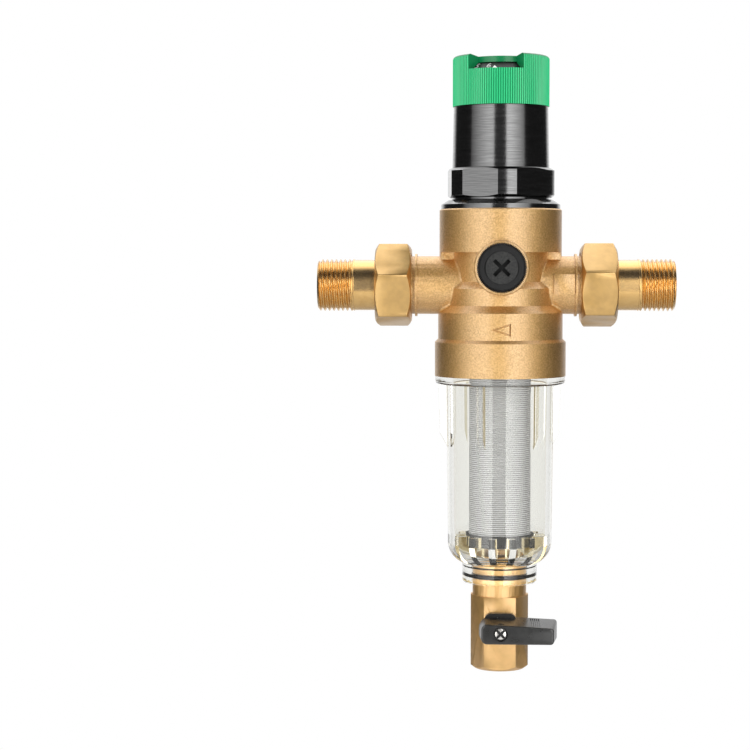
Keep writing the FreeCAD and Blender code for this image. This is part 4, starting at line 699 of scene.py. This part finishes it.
def looped(name, rings, axis="Z"):
    """A closed ring of outlines, each joined to the next and the last to the first."""
    count = len(rings[0])
    faces = []
    for ring in range(len(rings)):
        after = (ring + 1) % len(rings)
        for step in range(count):
            ahead = (step + 1) % count
            faces.append((ring * count + step, ring * count + ahead,
                          after * count + ahead, after * count + step))
    return skinned(name, [spot for ring in rings for spot in ring], faces, axis)


def bar(name, outline, low, high):
    """A straight bar of an outline between two heights."""
    count = len(outline)
    faces = [tuple(range(count)), tuple(range(count, 2 * count))]
    for corner in range(count):
        ahead = (corner + 1) % count
        faces.append((corner, ahead, ahead + count, corner + count))
    return skinned(name, [(u, v, end) for end in (low, high) for u, v in outline], faces)


def circle(radius, along, steps=96):
    """A ring of points; the radius can be a function of the turn, from 0 to 1."""
    ring = []
    for step in range(steps):
        reach = radius(step / steps) if callable(radius) else radius
        turn = math.tau * step / steps
        ring.append((reach * math.cos(turn), reach * math.sin(turn), along))
    return ring


def moved(obj, z=0, turn=0):
    """The object with its mesh turned round the Z axis, then raised in millimetres."""
    obj.data.transform(Matrix.Translation((0, 0, z * MM)) @ Matrix.Rotation(turn, 4, "Z"))
    return obj


print("axes", list(TO_AXIS))

# %% [markdown]
# ## Geometry Nodes for what repeats
# Flutes and wires follow a rule, so Geometry Nodes make them from a few named sizes. Copies
# placed one by one would have to be placed again when a size changes. `Pattern` builds such a
# tree, hands the sizes over by the identifiers of its sockets, and turns the result into plain
# mesh, because an export would drop live instances.

# %% Patterns
class Pattern(Nodes):
    """A Geometry Nodes tree with named inputs for its sizes."""

    def __init__(self, name, **sizes):
        super().__init__(bpy.data.node_groups.new(name, "GeometryNodeTree"))
        self.sizes = sizes
        panel = self.tree.interface
        panel.new_socket("Geometry", in_out="OUTPUT", socket_type="NodeSocketGeometry")
        for label, value in sizes.items():
            kind = "NodeSocketInt" if isinstance(value, int) else "NodeSocketFloat"
            panel.new_socket(label, in_out="INPUT", socket_type=kind)
        self.inlet = self.tree.nodes.new("NodeGroupInput")

    def size(self, label):
        """One of the named sizes."""
        return Wire(self, self.inlet.outputs[label])

    def vector(self, **parts):
        """A vector from numbers or wires for X, Y and Z."""
        return self.node("ShaderNodeCombineXYZ", parts)

    def line(self, low, high):
        """A curve up the Z axis."""
        ends = {"Start": self.vector(Z=low), "End": self.vector(Z=high)}
        return self.node("GeometryNodeCurvePrimitiveLine", ends)

    def circle(self, radius, resolution):
        """A round curve about the Z axis."""
        sockets = {"Radius": radius, "Resolution": resolution}
        return self.node("GeometryNodeCurvePrimitiveCircle", sockets)

    def swept(self, path, profile):
        """A closed mesh of a profile along a path."""
        sockets = {"Curve": path, "Profile Curve": profile, "Fill Caps": True}
        return self.node("GeometryNodeCurveToMesh", sockets)

    def made(self, geometry, finish):
        """The plain mesh object that the tree gives with its sizes."""
        real = self.node("GeometryNodeRealizeInstances", {"Geometry": geometry})
        painted = self.node("GeometryNodeSetMaterial", {"Geometry": real, "Material": finish})
        end = self.tree.nodes.new("NodeGroupOutput")
        self.tree.links.new(painted.socket, end.inputs["Geometry"])
        obj = stand(self.tree.name, bpy.data.meshes.new(self.tree.name))
        pattern = obj.modifiers.new("pattern", "NODES")
        pattern.node_group = self.tree
        for item in self.tree.interface.items_tree:
            if item.in_out == "INPUT":
                pattern[item.identifier] = self.sizes[item.name]
        return applied(obj)


print("patterns ready")

# %% [markdown]
# ## The green knob
# The knob sets the outlet pressure and is moulded with 128 fine flutes for a dry or wet hand.
# Flutes cut one by one would take 128 booleans. Here one bar gets all its flutes from a circle
# whose points are drawn in by a cosine wave, and the knob keeps what it shares with that bar.
# So the window, the dished top and the hollow inside stay exactly as they were drawn.

# %% Fluted bar
POINTS_PER_FLUTE = 6


def fluted_bar(name, radius, depth, flutes, low, high, finish):
    """A round bar with soft flutes along it, standing on the Z axis."""
    pattern = Pattern(name, Radius=radius * MM, Depth=depth * MM, Flutes=flutes,
                      Low=low * MM, High=high * MM)
    rim = pattern.circle(pattern.size("Radius"), pattern.size("Flutes") * POINTS_PER_FLUTE)
    place = pattern.node("GeometryNodeInputPosition", {})
    outward = pattern.node("ShaderNodeVectorMath", {0: place}, operation="NORMALIZE")
    index = pattern.node("GeometryNodeInputIndex", {})
    wave = pattern.node("ShaderNodeMath", {0: index * (math.tau / POINTS_PER_FLUTE)},
                        operation="COSINE")
    shift = (wave - 1) * 0.5 * pattern.size("Depth")
    offset = pattern.node("ShaderNodeVectorMath", {0: outward, "Scale": shift},
                          operation="SCALE")
    waved = pattern.node("GeometryNodeSetPosition", {"Geometry": rim, "Offset": offset})
    upright = pattern.line(pattern.size("Low"), pattern.size("High"))
    return pattern.made(pattern.swept(upright, waved), finish)


print("points round the knob", FLUTES * POINTS_PER_FLUTE)

# %% Knob
KNOB_FOOT = knob_low[2] / MM
KNOB_TOP = knob_high[2] / MM
SKIN = 0.02
OVER = 1

knob = copy_of("adjusting_knob")
carve(knob, fluted_bar("knob_flutes", KNOB_RADIUS - SKIN, FLUTE_DEPTH, FLUTES,
                       KNOB_FOOT - OVER, KNOB_TOP + OVER, GREEN), "INTERSECT")
dress(knob, "adjusting_knob", GREEN, crease=25)

# %% [markdown]
# ## The dial
# White figures are printed on the cone of the black scale ring and read through the knob's
# window against a small white pointer. A picture wrapped on the cone would need a file and blur
# close up. Each figure is flat text that is bent onto the cone instead: across the text becomes
# an angle, and up the text becomes the way up the slope.

# %% The cone and flat text
scale_low, scale_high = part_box("scale_ring")
CONE_FOOT = (scale_high[0] / MM, scale_low[2] / MM + 3.2)
CONE_TOP = (13.2, scale_high[2] / MM)
CONE_RUN = CONE_TOP[0] - CONE_FOOT[0]
CONE_RISE = CONE_TOP[1] - CONE_FOOT[1]
CONE_SLOPE = math.hypot(CONE_RUN, CONE_RISE)
TEXT_SIZE = 1.4
INK = 0.02


def flat_text(words, height):
    """Text as a thin closed mesh, centred, its height given in millimetres."""
    curve = bpy.data.curves.new(f"text_{words}", "FONT")
    curve.body = words
    curve.size = height * TEXT_SIZE * MM
    curve.extrude = INK * MM
    curve.align_x = "CENTER"
    curve.align_y = "CENTER"
    curve.resolution_u = 3
    holder = stand(f"text_{words}", curve)
    graph = bpy.context.evaluated_depsgraph_get()
    mesh = bpy.data.meshes.new_from_object(holder.evaluated_get(graph))
    bpy.data.objects.remove(holder)
    return mesh


print("slope of the cone", round(CONE_SLOPE, 2), "mm")

# %% Figures on the cone
FIGURE_HEIGHT = 2.9
FIGURE_MIDDLE = 2.9
FIRST_FIGURE = -110.5
FIGURE_STEP = 21


def onto_cone(mesh, degrees, up):
    """Bend a flat mesh onto the cone, its middle at an angle from +X and a way up the slope."""
    for vertex in mesh.vertices:
        across, rise, off = (c / MM for c in vertex.co)
        share = (up + rise) / CONE_SLOPE
        radius = CONE_FOOT[0] + CONE_RUN * share + off * CONE_RISE / CONE_SLOPE
        height = CONE_FOOT[1] + CONE_RISE * share - off * CONE_RUN / CONE_SLOPE
        turn = math.radians(degrees) + across / radius
        vertex.co = Vector((radius * math.cos(turn), radius * math.sin(turn), height)) * MM
    return mesh


def joined(name, meshes):
    """One object of several meshes."""
    work = bmesh.new()
    for mesh in meshes:
        work.from_mesh(mesh)
    mesh = bpy.data.meshes.new(name)
    work.to_mesh(mesh)
    work.free()
    return stand(name, mesh)


PRINT_WHITE = moulded("print_white", (0.75, 0.75, 0.73), (0.80, 0.80, 0.78), 0.45)
figures = [onto_cone(flat_text(figure, FIGURE_HEIGHT), FIRST_FIGURE - FIGURE_STEP * place,
                     FIGURE_MIDDLE)
           for place, figure in enumerate("654321")]
dress(joined("dial_figures", figures), "scale_ring", PRINT_WHITE, stands=False)

# %% Pointer on the window's sill
SILL = KNOB_TOP - 6.0
POINTER_FRONT = -19.1
POINTER_BACK = -17.7
POINTER_HALF = 0.9
POINTER_RIDGE = 0.85
POINTER_SUNK = 0.1
POINTER_TURN = math.radians(-8.7)

roof = [[(POINTER_HALF, y, SILL - POINTER_SUNK), (-POINTER_HALF, y, SILL - POINTER_SUNK),
         (0, y, SILL + POINTER_RIDGE)] for y in (POINTER_BACK, POINTER_FRONT)]
gables = [[(0, y, SILL)] * 3 for y in (POINTER_FRONT, POINTER_BACK)]
pointer = moved(looped("knob_pointer", roof + gables), turn=POINTER_TURN)
dress(pointer, "adjusting_knob", PRINT_WHITE, stands=False)

# %% [markdown]
# ## The cast housing
# The housing is a sand casting that holds the water ways. Sand can't hold a sharp edge, so a
# small bevel rounds them; a remesh would too, but would blur the machined seats as well. The
# flow arrow on the skirt is a thin groove, cut by a triangular ring. Flat facets of the drums
# would show in the shine, so every face that lies on a drum gets the drum's own radial
# direction as its shading normal.

# %% Flow arrow
SKIRT_RADIUS = 25.0
ARROW_HEIGHT = -17.4
ARROW_TIP, ARROW_TAIL, ARROW_HALF = -4.0, 3.7, 2.5
ARROW_LINE = 0.62
ARROW_DEPTH = 1.5


def arrow_ring(shallow, deep):
    """A triangular ring lying in the XZ plane, pointing along -X, between two depths along Y."""
    line = ARROW_LINE
    outer = [(ARROW_TIP, 0), (ARROW_TAIL, ARROW_HALF), (ARROW_TAIL, -ARROW_HALF)]
    inner = [(ARROW_TIP + 3.3 * line, 0), (ARROW_TAIL - line, ARROW_HALF - 1.4 * line),
             (ARROW_TAIL - line, 1.4 * line - ARROW_HALF)]
    return [[(x, y, z) for x, z in outline]
            for outline, y in ((outer, shallow), (outer, deep), (inner, deep), (inner, shallow))]


arrow = looped("arrow_tool", arrow_ring(-SKIRT_RADIUS - OVER, ARROW_DEPTH - SKIRT_RADIUS))
moved(arrow, z=ARROW_HEIGHT)
print("arrow", ARROW_TAIL - ARROW_TIP, "mm long")

# %% Housing
SMALLEST_DRUM = 18
ON_DRUM = 0.995


def round_shading(obj):
    """Radial shading normals on the faces that lie on drums round the Z axis."""
    mesh = obj.data
    normals = [Vector(corner.vector) for corner in mesh.corner_normals]
    for face in mesh.polygons:
        radial = Vector((face.center.x, face.center.y, 0))
        outward = radial.length > SMALLEST_DRUM * MM
        if outward and face.normal.dot(radial.normalized()) > ON_DRUM:
            for corner in face.loop_indices:
                spot = mesh.vertices[mesh.loops[corner].vertex_index].co
                normals[corner] = Vector((spot.x, spot.y, 0)).normalized()
    mesh.normals_split_custom_set(normals)


housing = carve(ease(copy_of("housing"), 0.35, angle=28), arrow)
round_shading(dress(housing, "housing", CAST, crease=50))

# %% [markdown]
# ## The gauge plugs
# The plugs close the gauge ports until a gauge is wanted, and their rims are knurled for the
# fingers. The teeth run over a rim that slopes back, so they show from the front as well. One
# knurled bar along Y makes them all: the plug keeps what it shares with the bar, which leaves
# its dish and its drive as drawn.

# %% Gauge plugs
TEETH = 84
POINTS_PER_TOOTH = 6
NOTCH = 0.5
SLOPE = 1.0


def knurled(radius, face):
    """A knurled bar whose two ends slope back, so that its teeth show from the front."""
    def rim(fall):
        return lambda turn: radius - fall - NOTCH * abs(turn * TEETH % 1 - 0.5) * 2
    rows = [(0, -face - OVER), (rim(SLOPE), -face), (rim(0), SLOPE - face),
            (rim(0), face - SLOPE), (rim(SLOPE), face), (0, face + OVER)]
    return [circle(reach, along, TEETH * POINTS_PER_TOOTH) for reach, along in rows]


for side in ("front", "back"):
    node = f"gauge_plug_{side}"
    plug_low, plug_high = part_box(node)
    plug_radius = (plug_high[0] - plug_low[0]) / 2 / MM
    face = max(abs(plug_low[1]), abs(plug_high[1])) / MM
    knurl = looped("plug_knurl", knurled(plug_radius - SKIN, face), axis="Y")
    moved(knurl, z=(plug_high[2] + plug_low[2]) / 2 / MM)
    dress(carve(copy_of(node), knurl, "INTERSECT"), node, PLUG, crease=28)

# %% [markdown]
# ## Unions
# A union joins the valve to the pipe: a hexagon nut that turns on a tailpiece. The nut's edges
# are broken with a bevel. The tail carries a right-hand R 1/2 thread, 14 ridges to the inch and
# 1.16 mm deep. A bump would draw the ridges but leave the outline smooth, so they are real: a
# bar is built as a stack of rings whose radius follows the helix, and the tail keeps what both
# fill.

# %% Threaded bar
PITCH = 25.4 / 14
THREAD_DEPTH = 1.16
CREST = 10.46
RINGS_PER_TURN = 10
PROFILE = (1.0, 1.0, 0.78, 0.40, 0.06, 0.0, 0.06, 0.40, 0.78, 1.0)
WIDE = 15
BEHIND = 20


def thread_radius(along, start):
    """The radius round a right-hand thread at a place along it."""
    def radius(turn):
        phase = (along / PITCH - turn) % 1 * (len(PROFILE) - 1)
        step = int(phase)
        share = phase - step
        height = PROFILE[step] * (1 - share) + PROFILE[step + 1] * share
        fade = min(max((along - start) / PITCH, 0), 1)
        return CREST - THREAD_DEPTH * (1 - height) * fade
    return radius


def threaded_bar(start, end):
    """Rings of a bar along +Z, wide up to where the thread starts and threaded from there on."""
    rings = [circle(0, start - BEHIND), circle(WIDE, start - BEHIND), circle(WIDE, start)]
    steps = round((end - start) / PITCH * RINGS_PER_TURN)
    for step in range(steps + 1):
        along = start + (end - start) * step / steps
        rings.append(circle(thread_radius(along, start), along))
    rings.append(circle(0, end))
    return rings


print("pitch", round(PITCH, 3), "mm")

# %% Nuts and threaded tails
THREAD_LENGTH = 14.7

for side, half_turn in (("inlet", 0), ("outlet", math.pi)):
    tail_node = f"{side}_tailpiece"
    tail_low, tail_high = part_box(tail_node)
    tail_end = max(abs(tail_low[0]), abs(tail_high[0])) / MM
    tool = looped(f"{side}_thread_tool",
                  threaded_bar(tail_end - THREAD_LENGTH, tail_end + OVER), axis="X")
    moved(tool, turn=half_turn)
    dress(carve(copy_of(tail_node), tool, "INTERSECT"), tail_node, TURNED, crease=40)
    nut_node = f"{side}_union_nut"
    dress(ease(copy_of(nut_node), 0.35), nut_node, NUT_BRASS, crease=30)

# %% [markdown]
# ## Drain valve
# The drain valve lets the dirt out of the bowl. Its body is a hexagon cut from bar, with broken
# edges and slightly matt flats. It could be drawn anew, but the solid already has its form, so
# a bevel on the CAD copy breaks the edges and the finish brings the grit of the flats.

# %% Drain valve
dress(ease(copy_of("drain_valve_body"), 0.3), "drain_valve_body", DRAIN_BRASS, crease=30)

# %% [markdown]
# ## Drain lever
# The lever is moulded: all its edges are round, its walls have draught, and it is hollow
# behind. A bevel on the CAD copy would round everything alike, but here each corner has a
# rounding of its own. So the outline is drawn at several depths, drawn in and rounded at the
# face, and wider towards the back. Hollow, hub and boss are then cut and added as in a mould.

# %% Rounded outline
def rounded(corners, steps=6):
    """A closed outline of (u, v, rounding) corners, each turned into an arc."""
    outline = []
    for place, (u, v, rounding) in enumerate(corners):
        spot = Vector((u, v))
        before = (Vector(corners[place - 1][:2]) - spot).normalized()
        after = (Vector(corners[(place + 1) % len(corners)][:2]) - spot).normalized()
        half = before.angle(after) / 2
        centre = spot + (before + after).normalized() * rounding / math.sin(half)
        first = spot + before * rounding / math.tan(half) - centre
        last = spot + after * rounding / math.tan(half) - centre
        sweep = first.angle_signed(last)
        for step in range(steps + 1):
            turn = Matrix.Rotation(-sweep * step / steps, 2)
            outline.append(tuple(centre + turn @ first))
    return outline


lever_low, lever_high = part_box("drain_lever")
screw_low, screw_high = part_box("lever_screw")
FACE = lever_low[1] / MM
BACK = lever_high[1] / MM
AXLE = (screw_low[2] + screw_high[2]) / 2 / MM
print("lever", round(BACK - FACE, 1), "mm deep, its axle at", round(AXLE, 2), "mm")

# %% Lever shell
TOP_FALL = 1.5
EDGE = 0.6
EDGE_STEPS = 6


def lever_size(depth):
    """Heel, tip and half height of the draughted lever at a depth behind its face."""
    share = depth / (BACK - FACE)
    return -7.5 - 0.9 * share, 20.9 + 1.9 * share, 4.0 + 0.9 * share


def lever_ring(depth, inset):
    """The lever's outline at a depth behind its face, drawn in evenly by an inset."""
    heel, tip, half = lever_size(depth)
    curl = 2.0 + 3.0 * depth / (BACK - FACE)
    outline = rounded([
        (heel + inset, inset - half, 2.2), (tip - inset, inset - half, 1.3),
        (tip - inset, half - TOP_FALL - inset, 1.3), (heel + inset, half - inset, curl)])
    return [(x, FACE + depth, AXLE + z) for x, z in outline]


shell = [lever_ring(EDGE * (1 - math.sin(a)), EDGE * (1 - math.cos(a)))
         for a in (math.radians(90 / EDGE_STEPS * k) for k in range(EDGE_STEPS + 1))]
corners = len(shell[0])
shell += [[(0, FACE, AXLE)] * corners, [(0, BACK, AXLE)] * corners, lever_ring(BACK - FACE, 0)]
lever = looped("drain_lever_dressed", shell)
print("lever rings", len(shell), "of", corners, "corners")

# %% Hollow, hub and boss
HOLLOW_X, HOLLOW_Z = (-5.2, 19.1), (-2.4, 0.9)
WALL = 3.3
HUB_RADIUS, HUB_DEPTH = 4.0, 2
BOSS_LEFT, BOSS_RIGHT, BOSS_HALF = -6.1, 6.3, 6.0
BOSS_ROUND, BOSS_DEPTH = 2.5, 2.6
SCREW_RECESS = (2.85, 1.8)
SHY = 0.01


def along_axle(obj):
    """The object, drawn round the Z axis, laid along Y onto the axle of the lever."""
    obj.data.transform(Matrix.Translation((0, 0, AXLE * MM)) @ TO_AXIS["Y"])
    return obj


def round_bar(name, radius, low, high):
    """A round bar along Y through the axle of the lever."""
    return along_axle(bar(name, [(x, z) for x, z, _ in circle(radius, 0, 48)], low, high))


hollow = [(x, y) for x, y in zip(HOLLOW_X + HOLLOW_X[::-1],
                                 (FACE + WALL, FACE + WALL, BACK + OVER, BACK + OVER))]
carve(lever, bar("hollow_tool", hollow, AXLE + HOLLOW_Z[0], AXLE + HOLLOW_Z[1]))
carve(lever, round_bar("hub", HUB_RADIUS, FACE + HUB_DEPTH, BACK - SHY), "UNION")
boss = rounded([(BOSS_LEFT, -BOSS_HALF, BOSS_ROUND), (BOSS_RIGHT, -BOSS_HALF, BOSS_ROUND),
                (BOSS_RIGHT, BOSS_HALF, BOSS_ROUND), (BOSS_LEFT, BOSS_HALF, BOSS_ROUND)])
carve(lever, along_axle(bar("boss", boss, BACK - BOSS_DEPTH, BACK - SHY)), "UNION")
carve(lever, round_bar("recess_tool", SCREW_RECESS[0], FACE - OVER, FACE + SCREW_RECESS[1]))
print("lever with hub", len(lever.data.polygons), "faces")

# %% Finger grooves
GROOVE_HALF = 0.19
GROOVE_DEEP = 0.45
TIP_GROOVES = (12.2, 13.0, 13.8, 14.6, 15.4)
HEEL_GROOVES = (-3.6, -2.8, -2.0)


def groove(x, depths):
    """A bar that follows the lever's sloping top along Y, the lower part of it sunk in."""
    rings = []
    for depth in depths:
        heel, tip, half = lever_size(depth)
        top = AXLE + half - TOP_FALL * (x - heel) / (tip - heel)
        rings.append([(x + GROOVE_HALF * u, FACE + depth, top + v) for u, v in
                      ((-1, -GROOVE_DEEP), (1, -GROOVE_DEEP), (1, 2), (-1, 2))])
    return looped("groove_tool", [[rings[0][0]] * 4, *rings, [rings[1][0]] * 4])


for x in TIP_GROOVES:
    carve(lever, groove(x, (1.0, 15.0)))
for x in HEEL_GROOVES:
    carve(lever, groove(x, (3.0, 12.0)))
dress(lever, "drain_lever", LEVER, crease=40)

# %% [markdown]
# ## Lever screw
# A small crosshead screw holds the lever on its stem. Its head is low and domed, so it is turned
# from a short profile, and two bars cut the cross. The cross would be lost in the head's shine, so
# shade is painted into it: the steel is painted dark where it lies deeper than the face.

# %% Lever screw
SCREW_FACE = screw_low[1] / MM
HEAD = [(0, 0), (1.5, 0.03), (2.1, 0.18), (2.4, 0.5), (2.4, 1.2), (1.3, 1.2), (1.3, 7.2),
        (0, 7.2)]
SLIT_HALF_LENGTH, SLIT_HALF_WIDTH, SLIT_DEEP = 2.1, 0.5, 0.9
SLIT = [(-SLIT_HALF_LENGTH, -SLIT_HALF_WIDTH), (SLIT_HALF_LENGTH, -SLIT_HALF_WIDTH),
        (SLIT_HALF_LENGTH, SLIT_HALF_WIDTH), (-SLIT_HALF_LENGTH, SLIT_HALF_WIDTH)]
SHADE_FROM = (0.3, 0.6)


def recessed_steel():
    """Bright steel with painted shade, dark where it lies deeper than the face of the screw."""
    finish = Finish("screw_steel")
    depth = finish.split(finish.place())[1]
    sunk = depth.within(*(SCREW_FACE + down for down in SHADE_FROM))
    # Painted shade: below the face the steel turns dark and stops being metal.
    tone = finish.blend(sunk, (0.72, 0.70, 0.66), (0.02, 0.02, 0.02))
    return finish.surface(tone, metallic=1 - sunk, roughness=0.3)


lever_screw = along_axle(looped("lever_screw_dressed",
                                [circle(r, SCREW_FACE + y, 40) for r, y in HEAD]))
for degrees in (45, 135):
    slit = bar("slit_tool", SLIT, SCREW_FACE - OVER, SCREW_FACE + SLIT_DEEP)
    carve(lever_screw, along_axle(moved(slit, turn=math.radians(degrees))))
dress(lever_screw, "lever_screw", recessed_steel(), crease=30)

# %% [markdown]
# ## Rings in the neck
# Two rings press against the inside of the clear neck. Where rubber touches the plastic there
# is no air between them, so the neck magnifies the ring to its full width. A ring that only
# lies beside the plastic would look thin. So each one is made a little fatter than its seat,
# which puts its surface inside the plastic.

# %% Neck rings
SWELL = 0.35
RING_HALF_WIDTH = 0.8
RING_CORNERS = 12


def pressed_ring(node, finish):
    """A ring with a round section that reaches into the wall round it."""
    low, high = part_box(node)
    middle = (low[2] + high[2]) / 2 / MM
    half = (high[2] - low[2]) / 2 / MM
    centre = high[0] / MM + SWELL - RING_HALF_WIDTH
    turns = [math.tau * step / RING_CORNERS for step in range(RING_CORNERS)]
    rows = [circle(centre + RING_HALF_WIDTH * math.cos(turn), middle + half * math.sin(turn))
            for turn in turns]
    dress(looped(f"{node}_dressed", rows), node, finish, crease=60)


pressed_ring("neck_o_ring", RUBBER)
pressed_ring("neck_slip_ring", RUBBER)

# %% [markdown]
# ## The sieve
# The sieve is steel cloth over a cage, and the eye sees its bright cross wires. A pattern in
# the material would look flat through the bowl, so Geometry Nodes lay real hoops over the plain
# tube: one hoop, set out up a line of points, with thin uprights between. A wire's section has
# only four corners, because there are so many wires.

# %% Sieve wires
WIRE_THICKNESS = 0.40
HOOP_PITCH = 0.80
UPRIGHTS = 24


def wire_cloth(radius, low, high, finish):
    """Hoops up a tube and thin uprights round it."""
    pattern = Pattern("sieve_wires", Radius=radius * MM, Wire=WIRE_THICKNESS * MM,
                      Pitch=HOOP_PITCH * MM, Uprights=UPRIGHTS, Low=low * MM, High=high * MM)
    section = pattern.circle(pattern.size("Wire") / 2, 4)
    hoop = pattern.swept(pattern.circle(pattern.size("Radius"), 72), section)
    rise = pattern.size("High") - pattern.size("Low")
    ladder = pattern.node("GeometryNodeMeshLine", {
        "Count": rise / pattern.size("Pitch"),
        "Start Location": pattern.vector(Z=pattern.size("Low")),
        "Offset": pattern.vector(Z=pattern.size("Pitch"))})
    hoops = pattern.node("GeometryNodeInstanceOnPoints", {"Points": ladder, "Instance": hoop})
    rod = pattern.swept(pattern.line(pattern.size("Low"), pattern.size("High")), section)
    posts = pattern.node("GeometryNodeMeshCircle", {
        "Vertices": pattern.size("Uprights"),
        "Radius": pattern.size("Radius") - pattern.size("Wire") * 0.7})
    rods = pattern.node("GeometryNodeInstanceOnPoints", {"Points": posts, "Instance": rod})
    both = pattern.node("GeometryNodeJoinGeometry", {"Geometry": [hoops, rods]})
    return pattern.made(both, finish)


print("hoops", HOOP_PITCH, "mm apart")

# %% Sieve
HOOPS_ABOVE_FOOT = 0.4
HOOPS_BELOW_TOP = 2.0
CLOTH = steel("steel_cloth", (0.665, 0.667, 0.69), 0.82)
# Painted shade: the plain tube under the wires is darker, for the shade seen between and behind the
# wires.
CLOTH_SHADE = steel("steel_cloth_shade", (0.32, 0.32, 0.32), 0.82)

mesh_low, mesh_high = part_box("sieve_mesh")
dress(copy_of("sieve_mesh"), "sieve_mesh", CLOTH_SHADE)
cloth = wire_cloth(mesh_high[0] / MM, mesh_low[2] / MM + HOOPS_ABOVE_FOOT,
                   mesh_high[2] / MM - HOOPS_BELOW_TOP, CLOTH)
dress(cloth, "sieve_mesh", CLOTH, crease=60, stands=False)

# %% [markdown]
# ## The setting spring
# Turning the knob drives the spring plate down, and the spring grows shorter under it. A rigid
# spring would push through the plates. Here the spring only gets its finish, rides its body and is
# given a mesh of its own.

# %% Setting spring
spring = dress(copy_of("set_spring"), "set_spring", STEEL, crease=40)
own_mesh(spring)

# %% [markdown]
# ## The pieces that stay as packed
# Most inner pieces are plain turned or moulded forms, which the solids show well, so they only
# need their finish. Each CAD node says by its slot what it is made of, and one loop gives every
# slot its finish. A slot without a finish is named.

# %% Dress the CAD nodes
for name, node in frame["nodes"].items():
    slots = [m.name.split(".")[0] for m in node.data.materials]
    for index, slot in enumerate(slots):
        if slot in FINISH_OF_SLOT:
            node.data.materials[index] = FINISH_OF_SLOT[slot]
        else:
            print("no finish for", name, slot)
print("CAD nodes dressed", len(frame["nodes"]))
